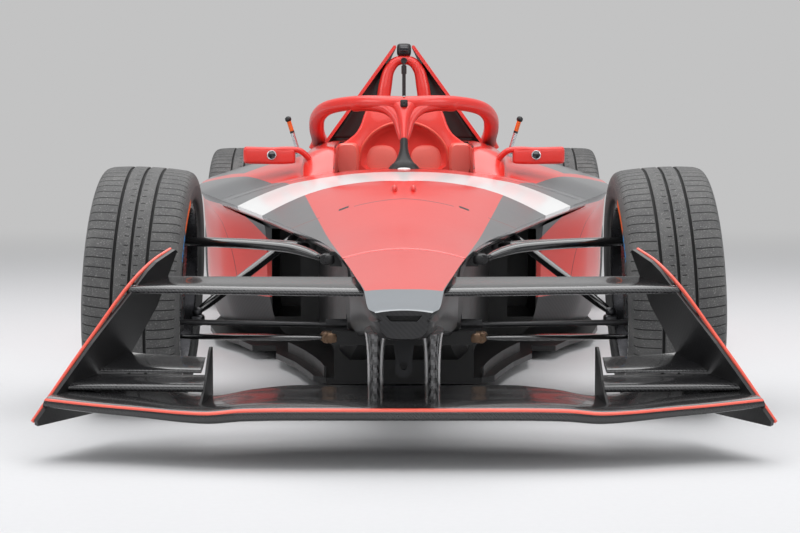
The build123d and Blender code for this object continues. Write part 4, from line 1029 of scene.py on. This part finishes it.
def makeRim(place, side):
    # barrel and hub are turned about the axle; each spoke is two bars that part as they rise
    centre, axle, up = wheelFrame(place, side)
    down = -up
    name, w, inside = f"{place}_{side}", wheel[place]["width"], wheel["rimInside"]
    facts = {"slot": "rim", "body": f"wheel_{name}"}
    lip = [(.426 * w, .2275), (.430 * w, .2345), (.436 * w, .2355), (.442 * w, .2345)]
    barrel = [(-.442 * w, inside), *((-along, radius) for along, radius in lip[::-1]), (-.30 * w, .2272),
              (0, .2262), (.30 * w, .2272), *lip, (.442 * w, .2225), (.425 * w, inside), (0, .2175),
              (-.425 * w, .2175)]
    parts = [latheOf(barrel, centre, axle, 144), latheOf(wheel["hub"], centre, axle, 72)]
    rise = np.linspace(0, 1, 10)
    reach = .066 + (inside - .066) * rise
    for start in spread(wheel["spokes"]):
        for fork in (-1, 1):
            angle = (start + fork * (.045 + .085 * rise))[:, None]
            radial = np.cos(angle) * down + np.sin(angle) * forward
            path = centre + axle * (.034 + (.30 * w - .034) * rise ** 1.6)[:, None] + radial * reach[:, None]
            wide = .0072 + .0035 * np.abs(2 * rise - 1) ** 3
            parts.append(tubeOf(path, wide, .0095 - .002 * rise, 12, 3.2, axle))
    addPiece(f"rim_{name}_spoked", parts, rimMetal, [f"rim_{name}"], smooth=45, **facts)
    nut = latheOf(wheel["nut"], centre, axle, 72, ripple=(12, .035))
    addPiece(f"wheelNut_{name}", [nut], redPaint if place == "front" else steelMetal, **facts)
    addPiece(f"wheelCore_{name}", [latheOf(wheel["core"], centre, axle, 36)], steelMetal, **facts)
    pegs = [boltOf(centre + axle * .052 + (cos(angle) * down + sin(angle) * forward) * wheel["pegRadius"],
                   axle, .0065)
            for angle in spread(wheel["pegs"])]
    valve = centre + axle * (.30 * w - .012) + down * wheel["valveRadius"]
    stem = [valve, valve + up * .010 + axle * .004, valve + up * .020 + axle * .010]
    pegs.append(tubeOf(stem, .0035, around=10, up=upY))
    addPiece(f"wheelPegs_{name}", pegs, steelMetal, body=facts["body"])


def makeBrakeShroud(place, side):
    # ribbed drum between the hub carrier and the spokes, on the part that holds the wheel
    centre, axle, up = wheelFrame(place, side)
    toTop = up * sides[side]
    owner = f"upright_{side}" if place == "front" else "chassis"
    screws = [boltOf(centre - axle * .048
                     + (cos(angle) * toTop + sin(angle) * forward) * wheel["shroudScrewRadius"], -axle, .004)
              for angle in spread(wheel["shroudScrews"], .2)]
    drum = latheOf(wheel["drum"], centre, axle, 120, ripple=(40, .0022))
    addPiece(f"brakeShroud_{place}_{side}", [drum], darkCarbon, smooth=45, body=owner)
    addPiece(f"shroudScrews_{place}_{side}", screws, steelMetal, body=owner)


for place in ("front", "rear"):
    for side in sides:
        makeTyre(place, side)
        makeRim(place, side)
        makeBrakeShroud(place, side)
print("wheels ready")

# front wing
endplate = {
    "point": (.840, -.860, .080), "out": unit((.3168, .1534, .1096)), "thick": .009,
    "edge": [(-.866, .090), (-.760, .262), (-.640, .421), (-.618, .437), (-.560, .463)],
    "screws": [(-.84, .118), (-.78, .148), (-.71, .166), (-.66, .386), (-.60, .398), (-.66, .20)],
}
wing = {
    # out, front edge behind the axle, its height, thickness, rear edge behind the axle, its height
    "main": [(0, -.985, .1265, .034, -.615, .138), (.250, -.985, .1265, .034, -.618, .140),
             (.355, -.975, .1235, .034, -.640, .134), (.446, -.961, .1155, .032, -.690, .126),
             (.632, -.905, .1225, .027, -.700, .150), (.800, -.858, .134, .024, -.705, .160)],
    "lowFlap": [(.462, -.800, .156, .022, -.714, .178), (.750, -.800, .160, .022, -.708, .180)],
    "highFlap": [(.478, -.706, .184, .013, -.602, .206), (.750, -.700, .186, .013, -.602, .220)],
    "upper": [(.096, -.690, .367, .025, -.556, .396), (.650, -.680, .375, .025, -.556, .398)],
    "stripe": (1, 5), "pylonOut": .065, "pylonLow": .118, "pylonHigh": .298,
    "fence": [(.462, -.884, .128), (.462, -.840, .140), (.462, -.760, .168), (.462, -.690, .214),
              (.462, -.640, .236), (.462, -.618, .234)],
}


def endplateX(y, z, inset=0.0):
    # where the endplate's inner face is at a place along and up
    px, py, pz = endplate["point"]
    nx, ny, nz = endplate["out"]
    return px - (ny * (y - frontAxle - py) + nz * (z - pz)) / nx - inset


def planeRings(rows, count, toPlate=True, blendFrom=.7, blunt=.42, points=34):
    # wing sections: half thickness = 1.15 thick u^blunt (1 - u)^1.3 each side of the chord
    start, end = rows[0][0], rows[-1][0]
    out = np.linspace(start, end, count)
    frontY, frontZ, thick, rearY, rearZ = rowValues(rows, out)
    u = (1 - np.cos(np.linspace(0, pi, points)[None])) / 2
    half = thick * (1.15 * u ** blunt * (1 - u) ** 1.3 + .035 * u)
    y = frontAxle + frontY + (rearY - frontY) * u
    z = frontZ + (rearZ - frontZ) * u
    drop = .12 * thick * np.sin(pi * u)
    ringY, ringZ = np.hstack([y, y[:, ::-1]]), np.hstack([z + half - drop, (z - half - drop)[:, ::-1]])
    x = np.broadcast_to(out[:, None], ringY.shape)
    if toPlate:
        share = np.clip((out - start) / (end - start), 0, 1)
        share = np.clip((share - blendFrom) / (1 - blendFrom), 0, 1)[:, None] ** 1.5
        x = x + (endplateX(ringY, ringZ, .0015) - end) * share
    return np.stack([x, ringY, ringZ], -1)


def makeMainPlane():
    # one span of wing sections from tip to tip, closed at both ends
    whole = acrossCar(planeRings(wing["main"], 60, blunt=.28, points=44))
    addPiece("frontPlane", [loftOf(whole)], planeCarbon, ["front_wing_main"], smooth=70)
    # the painted line lies on the first rows of points behind the front edge
    first, last = wing["stripe"]
    stripe = sheetOf(whole[:, first:last] + [0, -.0005, .0006])
    addPiece("planeStripe", [stripe], edgePaint, smooth=70, wall=.0008)


def makeFlaps():
    # the same sections, from each plane's inner end to the endplate
    upper = loftOf(planeRings(wing["upper"], 24, blendFrom=.5))
    addPiece("upperPlane", pair(upper), glossCarbon, ["front_wing_upper"], smooth=70)
    flaps = [loftOf(planeRings(wing[key], 16, blendFrom=.4)) for key in ("lowFlap", "highFlap")]
    addPiece("wingFlaps", pair(*flaps), glossCarbon, ["wing_flaps"], smooth=70)


def makePylons():
    # swept sections: half thickness = 1.5 thick sqrt(u) (1 - u)^.6, thicker towards the top
    rise = np.linspace(0, 1, 14)[:, None]
    front, rear = frontAxle - .905 - .022 * rise ** 1.5, frontAxle - .690 - .030 * rise
    angle = circle(30)[None]
    u = (1 - np.cos(angle)) / 2
    thick = .0265 * (1 + .40 * rise ** 5)
    x = wing["pylonOut"] + np.sign(np.sin(angle)) * thick * (np.sqrt(u) * (1 - u) ** .6 * 1.5)
    z = wing["pylonLow"] + (wing["pylonHigh"] - wing["pylonLow"]) * rise
    pylon = loftOf(np.stack([x, front + (rear - front) * u, z * np.ones_like(u)], -1))
    addPiece("wingPylons", pair(pylon), pylonCarbon, smooth=70)


def makeFences():
    # a thin plate between an eased top line and a level foot
    top = curveThrough(onCar(wing["fence"]), 26)
    belly = np.concatenate([top, (top * [1, 1, 0] + [0, 0, .114])[::-1]])
    fence = loftOf(np.stack([belly - [.0035, 0, 0], belly + [.0035, 0, 0]]))
    addPiece("wingFences", pair(fence), darkCarbon, bevel=.0015)


def makeEndplateTrim():
    # painted front edge of each endplate, and its screws
    out, thick = endplate["out"], endplate["thick"]
    path = curveThrough(onCar([(0, behind, height) for behind, height in endplate["edge"]]), 40)
    path[:, 0] = endplateX(path[:, 1], path[:, 2])
    path += out * thick * .5
    edge = tubeOf(path, .0046, .0036, around=14, power=3, up=out)
    addPiece("endplateEdges", pair(edge), edgePaint, smooth=70)
    screws = [boltOf(onCar((endplateX(frontAxle + behind, height), behind, height)) + out * thick, out, .005)
              for behind, height in endplate["screws"]]
    addPiece("endplateScrews", pair(*screws), steelMetal)


def endplateMaterial():
    # red outside, dark cloth inside: split by the plate's middle plane
    material, shader = newMaterial("endplatePaint", "carbon", Coat_Weight=.12, Coat_Roughness=.15)
    x, y, z = shader.split(shader.place())
    nx, ny, nz = map(float, endplate["out"])
    px, py, pz = endplate["point"]
    level = nx * px + ny * (frontAxle + py) + nz * pz + endplate["thick"] * .6
    cloth = shader.group(carbonTwill, Pale=(.009, .009, .010, 1), Dark=(.005, .005, .006, 1))
    colour = shader.mix(abs(x) * nx + y * ny + z * nz > level, cloth["Colour"], colours["red"])
    dusty = shader.group(workshopDust, Colour=colour, Amount=.04, Roughness=.30)
    shader.finish(dusty, cloth["Height"], .12, .0003)
    return material


makeMainPlane()
makePylons()
makeFlaps()
makeFences()
makeEndplateTrim()
finishNodes(endplateMaterial(), "front_endplates")
print("front wing ready")

# suspension. Mounts: behind the front axle, out, height
kingpin = {"out": -.080, "upper": .128, "lower": -.135, "eyeHeight": .022}
arms = {
    "upper": {"mounts": [(-.150, .196, .412), (.225, .262, .426)], "chord": .100, "thick": .034, "bow": .020},
    "lower": {"mounts": [(-.165, .190, .205), (.215, .212, .165)], "chord": .066, "thick": .019, "bow": 0},
    "bush": .014, "bushHalf": .022,
}


def cornerPoint(outward, back, rise):
    # a place beside the left front wheel's centre
    centre, axle, up = wheelFrame("front", "left")
    return centre + axle * outward + forward * back + up * rise


def makeFrontArms(name):
    # two wing-section blades meet at the ball joint; eyes and sleeves are turned about theirs
    spec, half, reach = arms[name], kingpin["eyeHeight"] / 2, arms["bushHalf"]
    tip = cornerPoint(kingpin["out"], 0, kingpin[name])
    above = cornerPoint(kingpin["out"], 0, kingpin[name] + .1) - tip
    eye = [(-half, .0088), (-half, .0155), (-half + .002, .0170), (half - .002, .0170), (half, .0155),
           (half, .0088)]
    sleeve = [(-reach, .007), (-reach, .0125), (-reach + .002, .0145), (reach - .002, .0145), (reach, .0125),
              (reach, .007), (reach + .004, .006), (reach + .004, .0005), (-reach - .004, .0005),
              (-reach - .004, .006)]
    blades, bushes = [latheOf(eye, tip, above, 36)], []
    for back, out, height in spec["mounts"]:
        root = onCar((out + arms["bush"], back, height))
        bow = spec["bow"] if back < 0 else 0
        blades.append(barOf(root, tip, spec["chord"], spec["thick"], ends=.45, bow=bow))
        bushes.append(latheOf(sleeve, root, (0, 1, .0001), 28))
        bushes.append(padOf(root - [.014, 0, 0], (.016, .027, .015), power=4, around=20, rings=12))
    title = f"front{name.title()}"
    addPiece(f"{title}Blades", pair(*blades), armCarbon, [f"front_{name}_arms"], smooth=60)
    metal = bronzeMetal if name == "lower" else blackPlastic
    addPiece(f"{title}Bushes", pair(*bushes), metal, smooth=45, slot="steel")


def makePushrods():
    # straight rod; radius = 7.5 mm + 5.5 mm (share of the first and last tenth)^.7
    low = cornerPoint(kingpin["out"] - .056, .068, kingpin["lower"] + .062)
    high = onCar((.300, .420, .457))
    t = np.linspace(0, 1, 24)
    path = low + (high - low) * t[:, None]
    radius = .0075 + .0055 * np.clip(np.minimum(t, 1 - t) / .10, 0, 1) ** .7
    joints = [padOf(low, (.014, .014, .014), power=2), tubeOf(path[:3], .0095, around=12),
              padOf(low - [0, 0, .022], (.020, .024, .016), power=4)]
    addPiece("pushrodTubes", pair(tubeOf(path, radius)), armCarbon, ["front_pushrods"], smooth=60)
    addPiece("pushrodJoints", pair(*joints), discMetal, smooth=60)


makeFrontArms("upper")
makeFrontArms("lower")
makePushrods()
print("suspension ready")

# mirrors, aerials and the head surround
mirror = {
    # shell rows: out, height, half height, half depth
    "shell": [(.366, .668, .014, .018), (.370, .668, .021, .028), (.380, .668, .0255, .033),
              (.430, .669, .0285, .034), (.480, .670, .0290, .035), (.520, .671, .0292, .035),
              (.540, .672, .0288, .034), (.546, .672, .022, .026)],
    "behind": 1.235, "lens": (.449, 1.1985, .672), "lensRadius": .0160,
    "foot": ((.289, 1.243, .606), (.026, .024, .010)), "back": ((.461, 1.269, .671), (.072, .002, .021)),
    "arm": [(.452, 1.214, .688), (.392, 1.216, .691), (.356, 1.222, .687), (.329, 1.232, .665),
            (.312, 1.240, .638), (.297, 1.243, .606)],
}



def makeMirrors():
    # shell: a squarish tube across the car, its half height and depth eased from row to row
    out = np.linspace(.372, .546, 40)
    height, high, deep = rowValues(mirror["shell"], out)[..., 0]
    shellPath = onCar(np.stack([out, 0 * out + mirror["behind"], height], -1))
    shell = tubeOf(shellPath, deep, high, around=40, power=6)
    armPath = curveThrough(onCar(mirror["arm"]), 24)
    arm = tubeOf(armPath, np.linspace(.013, .0125, 24), np.linspace(.0095, .0105, 24), 18)
    foot = padAt(*mirror["foot"], power=2.6)
    face, radius = onCar(mirror["lens"]), mirror["lensRadius"]
    inner = radius * .80
    ring = [(-.004, radius), (.0012, radius), (.0018, radius * .92), (.0012, inner), (-.004, inner)]
    lens = [(-.004, inner), (-.0005, inner), (.0004, radius * .5), (.0006, radius * .02)]
    back = padAt(*mirror["back"], power=5, around=28)
    addPiece("mirrorShells", pair(shell, arm, foot), redPaint, ["mirrors"], smooth=60)
    addPiece("mirrorLensRings", pair(latheOf(ring, face, (0, -1, 0), 32)), alloyMetal)
    addPiece("mirrorLenses", pair(latheOf(lens, face, (0, -1, 0), 28)), lensDark)
    addPiece("mirrorGlasses", pair(back), mirrorGlass)


aerial = {
    # places along the rod and the radius at each
    "line": [(.395, 2.000, .640), (.448, 2.000, .812)], "shown": .90,
    "base": ((-.004, .010, .030), (.013, .011, .006)),
    "tip": ((-.004, 0, .004, .012, .0165), (.0080, .0110, .0125, .0110, .004)),
    "collar": ((-.050, -.042), (.0086, .0086)), "band": ((-.043, -.003), (.0082, .0082)),
}


def makeAerials():
    # a straight rod with sleeves on it, each with its own radius from place to place
    low, high = onCar(aerial["line"])
    along, top = unit(high - low), low + (high - low) * aerial["shown"]

    def rod(start, places, radii):
        return tubeOf([start + along * place for place in places], radii, around=20, up=upY)

    shaft = tubeOf(low + (high - low) * np.linspace(0, aerial["shown"], 8)[:, None], .0078, around=20, up=upY)
    base, tip, collar = rod(low, *aerial["base"]), rod(top, *aerial["tip"]), rod(top, *aerial["collar"])
    addPiece("aerialRods", pair(shaft), alloyMetal, ["aerial_rods"], smooth=60)
    addPiece("aerialTips", pair(tip, base, collar), blackPlastic, smooth=60)
    addPiece("aerialBands", pair(rod(top, *aerial["band"])), orangePlastic, smooth=60)


head = {
    "hump": [(0, .858), (.060, .858), (.108, .853), (.132, .842), (.146, .815), (.158, .780), (.176, .748),
             (.204, .724), (.231, .706)],
    "front": 1.690, "rear": 1.815, "low": .592, "bowl": (.160, .142, .640), "side": (.2015, .037, .652, .060),
    "sideFront": 1.480, "pad": ((.082, 1.722, .642), (.058, .016, .060)),
    "hollow": ((.006, .985), (.018, .93), (.030, .82), (.037, .62), (.038, .30)),
}


def makeHeadSurround():
    # hump outline eased through its points; the front ring folds in to an arched bowl
    front, rear, low = head["front"], head["rear"], head["low"]
    top = curveThrough([(x, 0, z) for x, z in head["hump"]], 30)
    halfX = np.concatenate([top[:, 0], [.2325, .2325, .150, .075, 0]])[None]
    halfZ = np.concatenate([top[:, 2], [.69, low, low, low, low]])[None]

    def ring(behind, shrink):
        grid = wholeRing(halfX, halfZ, [behind])
        grid[..., 0] *= 1 - shrink / .23
        grid[..., 2] = .66 + (grid[..., 2] - .66) * (1 - shrink / .2)
        return grid

    rings = [ring(rear, .010), ring(rear - .006, .002), ring(rear - .03, 0), ring(front + .012, 0),
             ring(front + .003, .003), ring(front, .009)]
    wide, high, middle = head["bowl"]
    mouth = rings[-1].copy()
    angle = np.arctan2(mouth[..., 2] - middle, mouth[..., 0])
    mouth[..., 0] = wide * np.cos(angle)
    below = np.maximum(low + .004, middle + .05 * np.sin(angle))
    mouth[..., 2] = np.where(np.sin(angle) > 0, middle + high * np.sin(angle), below)
    centre = [0, 0, middle]
    hollow = [(mouth - centre) * [scale, 1, scale] + centre + [0, depth, 0]
              for depth, scale in head["hollow"]]
    hump = loftOf(np.concatenate([*rings, mouth, *hollow]))
    # the hump's red is lighter than the body's: painted light for its shaded bowl
    addPiece("headSurround", [hump], headRedPaintedLight, ["headrest"], smooth=50)
    steps = np.linspace(0, 1, 26)
    x, halfWide, z, halfHigh = head["side"]
    behind = head["sideFront"] + (front + .02 - head["sideFront"]) * steps
    path = onCar(np.stack([x + 0 * steps, behind, z + 0 * steps], -1))
    endSoft = np.clip(steps / .08, .0, 1) ** .4 * .12 + .88
    side = tubeOf(path, halfWide * endSoft, halfHigh * endSoft, around=30, power=4.5)
    # the side pads are painted pale pink: painted light
    addPiece("headSides", pair(side), sidePadPaintedLight, smooth=50)
    # painted highlight: a thin pink tube along the bowl's rim stands in for the light caught by its edge
    sweep = np.linspace(.04, pi - .04, 60)
    rimPath = onCar(np.stack([(wide + .006) * np.cos(sweep), 0 * sweep + front + .001,
                              middle + (high + .006) * np.sin(sweep)], -1))
    addPiece("bowlRimHighlight", [tubeOf(rimPath, .0045, .0035, around=12, up=upY)], edgePaint, smooth=70)
    pad = padAt(*head["pad"], power=2.7, around=32, rings=18)
    # the pads in the bowl are light salmon: painted light
    addPiece("headPads", pair(pad), headPadPaintedLight, smooth=60)


makeMirrors()
makeAerials()
makeHeadSurround()
print("mirrors, aerials and head surround ready")

# rear wing and light
rearWing = {
    "low": [(.040, 3.534, .470, .030, 3.824, .545), (.712, 3.534, .470, .030, 3.824, .545)],
    "top": [(0, 3.814, .560, .020, 3.959, .640), (.712, 3.814, .560, .020, 3.959, .640)],
    "tab": [(-.710, 3.957, .640), (.710, 3.957, .640)], "tabHigh": .008,
    "bridge": [(3.754, .500), (3.844, .540), (3.904, .585), (3.874, .600), (3.814, .580), (3.774, .540)],
    "mast": [(3.574, .478), (3.574, .300), (3.734, .300), (3.734, .505)],
    "screwOut": .7225,
    "screws": [(3.56, .475), (3.66, .50), (3.79, .535), (3.83, .566), (3.93, .622), (3.98, .30), (3.98, .36)],
}


def makeRearWing():
    # wing sections as in front; the masts are flat plates cut to their outlines
    low, top = (planeRings(rearWing[key], 24, toPlate=False, blunt=.45, points=36) for key in ("low", "top"))
    left, right = onCar(rearWing["tab"])
    across = left + (right - left) * np.linspace(0, 1, 30)[:, None]
    tab = tubeOf(across + [0, 0, .004], .0011, rearWing["tabHigh"], around=10, power=5)
    planes = [*pair(loftOf(low)), loftOf(acrossCar(top)), tab]
    addPiece("rearPlanes", planes, glossCarbon, ["rear_wing"], smooth=70)

    def plate(out, wide, key):
        return plateOf(onCar([(out, behind, height) for behind, height in rearWing[key]]), (1, 0, 0), wide)

    masts = pair(plate(.060, .008, "bridge"), plate(.400, .008, "bridge"), plate(.048, .012, "mast"))
    addPiece("rearMasts", masts, darkCarbon, bevel=.001)
    screws = [boltOf(onCar((rearWing["screwOut"], behind, height)), (1, 0, 0), .0055)
              for behind, height in rearWing["screws"]]
    addPiece("rearPlateScrews", pair(*screws), steelMetal)


def makeRainLight():
    # a block with soft edges, a square seal about its face and rows of small domes
    middle, half = boxOf("rain_light")
    case = padOf(middle - [0, .003, 0], half - [0, .003, 0], power=9, around=48, rings=14)
    angle = np.linspace(0, 2 * pi, 97)
    reach = np.maximum(np.abs(np.cos(angle)), np.abs(np.sin(angle)))
    around = np.stack([(half[0] - .004) * np.cos(angle) / reach, 0 * angle + half[1] - .006,
                       (half[2] - .004) * np.sin(angle) / reach], -1)
    seal = tubeOf(middle + around, .0035, .0045, around=10, up=upY)
    addPiece("rainLightCase", [case, seal], blackPlastic, ["rain_light"], smooth=60)
    dome = [(-.003, .0078), (.001, .0074), (.0036, .0052), (.0046, .0002)]
    lamps = [latheOf(dome, middle + [across, half[1] - .0062, height], upY, 24)
             for across in (-.0185, 0, .0185) for height in np.linspace(-.034, .034, 5)]
    addPiece("rainLightLamps", lamps, lensRed)


# steering wheel, belts and small body parts
handWheel = {
    "centre": (0, 1.304, .590), "tilt": radians(16), "grip": .0150, "bar": .0095, "barHeights": (.018, -.058),
    "grips": [(.094, .022, -.016), (.114, .020, -.014), (.127, .002, -.012), (.129, -.020, -.012),
              (.121, -.044, -.014), (.100, -.062, -.016)],
    "caps": [(.066, .010), (.084, -.006), (.084, -.026), (.066, -.042), (.040, -.050), (.014, -.052)],
    "shaft": [(-.290, .0005), (-.290, .0170), (-.082, .0170), (-.080, .0230), (-.060, .0270), (-.052, .0270),
              (-.050, .0215), (-.034, .0215), (-.030, .0300), (-.020, .0300), (-.020, .0005)],
    "knob": [(-.004, .0080), (.003, .0080), (.0045, .0068), (.0045, .0040), (.0036, .0002)],
}
belts = {
    "shoulder": [(.066, 1.702, .604), (.064, 1.664, .575), (.058, 1.600, .385), (.044, 1.540, .222),
                 (.026, 1.480, .146), (.010, 1.440, .136)],
    "lap": [(.148, 1.545, .176), (.105, 1.505, .150), (.055, 1.458, .136), (.014, 1.432, .136)],
    "crotch": [(0, 1.330, .146), (0, 1.370, .140), (0, 1.420, .138)], "wide": .022, "thick": .0014,
    "centre": (0, 1.434, .142), "tongues": (.5, 2.6, 3.6, 5.8, 4.71),
    "slider": ((.0545, 1.578, .336), (.026, .004, .012)),
    "buckle": [(-.004, .0005), (-.004, .0270), (.004, .0290), (.009, .0270), (.011, .0200), (.010, .0110),
               (.012, .0090), (.012, .0005)],
}


def webbingMaterial():
    # woven belt: ribs across it and a soft sheen
    material, shader = newMaterial("beltWebbing", "black_plastic", Sheen_Weight=.3)
    x, y, z = shader.split(shader.place())
    weave = shader.ribs(y + z * .8, .0016) * shader.ribs(x, .0012)
    colour = shader.mix(weave, (.020, .020, .022, 1), (.055, .055, .058, 1))
    shader.finish({"Colour": colour, "Roughness": shader.ramp(weave, 0, 1, .75, .60)}, weave, .5, .0004)
    return material


def makeHandWheel():
    # worked out flat, x across, y up and z to the driver, then leant forward by the tilt
    tilt, body = handWheel["tilt"], "steering_wheel"
    turn = np.array([[1, 0, 0], [0, -sin(tilt), cos(tilt)], [0, cos(tilt), sin(tilt)]])
    centre, toDriver = onCar(handWheel["centre"]), turn[:, 2]

    def at(points):
        return centre + np.asarray(points, float) @ turn.T

    def pad(place, half, **facts):
        return padOf(at(place), half, turn=turn, **facts)

    hub = pad((0, -.021, -.017), (.096, .041, .0160), power=4.5, around=44, rings=16)
    bars = []
    for h in handWheel["barHeights"]:
        line = at([(-.102, h, -.016), (0, h * 1.10, -.018), (.102, h, -.016)])
        bars.append(tubeOf(curveThrough(line, 24), handWheel["bar"]))
    paddles = pair(pad((.078, -.008, -.044), (.034, .024, .0022), power=5, around=28))
    addPiece("handWheelBody", [hub, *bars, *paddles], darkCarbon, [body], smooth=60, body=body)
    grip = tubeOf(curveThrough(at(handWheel["grips"]), 40), handWheel["grip"], handWheel["grip"] * .85,
                  around=24)
    addPiece("handWheelGrips", pair(grip), blackPlastic, smooth=60, body=body)
    addPiece("handWheelShaft", [latheOf(handWheel["shaft"], centre, toDriver, 48)], discMetal, body=body)
    screen = pad((0, -.009, .0006), (.046, .021, .0022), power=7, around=36)
    addPiece("handWheelScreen", [screen], lensDark, body=body)
    for first, (name, finish) in enumerate((("Red", redPaint), ("Blue", bluePlastic), ("White", whitePaint))):
        places = [at((*place, -.0005)) for place in handWheel["caps"][first::3]]
        caps = [latheOf(handWheel["knob"], place, toDriver, 24) for place in places]
        addPiece(f"handWheelCaps{name}", pair(*caps), finish, slot="black_plastic", body=body)


def makeBelts():
    # flat squarish tubes along eased lines, with turned and soft-edged fittings
    wide, thick = belts["wide"], belts["thick"]

    def strap(key, count, half, up=(0, 0, 1)):
        return tubeOf(curveThrough(onCar(belts[key]), count), half, thick, around=16, power=5, up=up)

    straps = pair(strap("shoulder", 40, wide, (0, -.92, .38)), strap("lap", 40, wide))
    addPiece("beltStraps", [*straps, strap("crotch", 20, wide * .8)], webbingMaterial(), smooth=60)
    middle = onCar(belts["centre"])
    tongues = [padOf(middle + [.030 * cos(a), .030 * sin(a), .001], (.011, .011, .0022), power=4)
               for a in belts["tongues"]]
    slider = padAt(*belts["slider"], power=5)
    buckle = latheOf(belts["buckle"], middle, (0, 0, 1), 48)
    addPiece("beltBuckle", [buckle, *tongues, *pair(slider)], discMetal, smooth=45)


def makeBlisters():
    # two small drops on the nose's top
    blister = padAt((.028, .470, .5775), (.0085, .034, .0165), power=2.3, around=24, rings=14)
    addPiece("noseBlisters", pair(blister), redPaint, smooth=60)


makeRearWing()
makeRainLight()
makeHandWheel()
makeBelts()
makeBlisters()
print("rear wing, hand wheel, belts and fittings ready")

# floor, light and camera
studio = {
    "reach": 40.0, "wall": 26.0, "turn": 6.0, "fade": (0.5, 8.0), "air": (.80, .82, .85, 1),
    "airStrength": .40, "wallPale": (.552, .552, .552, 1), "wallGrey": (.538, .538, .540, 1),
    "floor": (.67, .67, .68, 1), "floorShade": (.65, .65, .66, 1),
}
lamps = {
    # place, target, size and power
    "overhead": ((0, -.5, 4.6), (0, -.2, 0), (6.0, 7.0), 330),
    "leftWash": ((-5.5, -3.0, 3.0), (0, -.4, .4), (4.0, 3.0), 110),
    "rightWash": ((5.5, -3.0, 3.0), (0, -.4, .4), (4.0, 3.0), 110),
    "frontFill": ((0, -9.5, 3.2), (0, -1.5, .2), (7.0, 3.0), 130),
}
view = {"ahead": 4.879, "height": .742, "down": 4.229, "aside": .1265, "lens": 80.39, "far": 200}


def backdropGrid():
    # flat floor that turns up into a wall behind the car along a quarter circle
    t = np.linspace(0, pi / 2, 24)
    reach, start = studio["reach"], studio["wall"] - studio["turn"]
    bend = np.stack([start + studio["turn"] * np.sin(t), studio["turn"] * (1 - np.cos(t))], -1)
    line = np.concatenate([[[-reach, 0], [start, 0]], bend, [[studio["wall"], reach]]])
    return np.stack([np.insert(line, 0, side, axis=1) for side in (-reach, reach)])


def addObject(name, data):
    made = bpy.data.objects.new(name, data)
    bpy.context.collection.objects.link(made)
    return made


def paperMaterial():
    material, shader = newMaterial("studioPaper", "", Specular_IOR_Level=.2)
    away = shader.ramp(shader.split(shader.place())[1], *studio["fade"], soft=True)
    grain = shader.noise(60.0, 2, .5)
    colour = shader.mix(grain, studio["floor"], studio["floorShade"])
    shader.finish({"Colour": colour, "Roughness": shader.ramp(grain, 0, 1, .55, .65)}, grain, .02, .001)
    # far paper glows evenly to the eye and in reflections; near the car it is lit and takes shadows
    wall = shader.mix(grain, studio["wallPale"], studio["wallGrey"])
    glow = shader.node("ShaderNodeEmission", {"Color": wall}).outputs[0]
    rays = shader.node("ShaderNodeLightPath").outputs
    eye, glossy, through = (Value(shader, rays[f"Is {kind} Ray"])
                            for kind in ("Camera", "Glossy", "Transmission"))
    share = away * (eye | glossy | through)
    blend = shader.node("ShaderNodeMixShader", {0: share, 1: shader.surface.outputs[0], 2: glow})
    shader.feed(material.node_tree.nodes["Material Output"].inputs["Surface"], blend.outputs[0])
    return material


def makeStage():
    verts, faces = sheetOf(backdropGrid())
    mesh = bpy.data.meshes.new("studioFloor")
    mesh.from_pydata(verts.tolist(), [], faces)
    mesh.shade_smooth()
    mesh.materials.append(paperMaterial())
    addObject("studioFloor", mesh)


def makeLamps():
    for name, (place, target, size, power) in lamps.items():
        light = bpy.data.lights.new(name, "AREA")
        light.shape = "RECTANGLE"
        light.size, light.size_y = size
        light.energy = power
        lamp = addObject(name, light)
        lamp.location = place
        lamp.rotation_euler = (Vector(target) - Vector(place)).to_track_quat("-Z", "Y").to_euler()
    world = bpy.data.worlds.new("studioAir")
    world.use_nodes = True
    air = world.node_tree.nodes["Background"].inputs
    air["Color"].default_value, air["Strength"].default_value = studio["air"], studio["airStrength"]
    bpy.context.scene.world = world


def makeCamera():
    lens = bpy.data.cameras.new("camera")
    lens.lens, lens.clip_end = view["lens"], view["far"]
    camera = addObject("camera", lens)
    camera.location = (0, frontAxle - view["ahead"], view["height"])
    camera.rotation_euler = (radians(90 - view["down"]), 0, radians(view["aside"]))
    bpy.context.scene.camera = camera
    bpy.context.scene.view_settings.view_transform = "Standard"


makeStage()
makeLamps()
makeCamera()
print("stage ready")
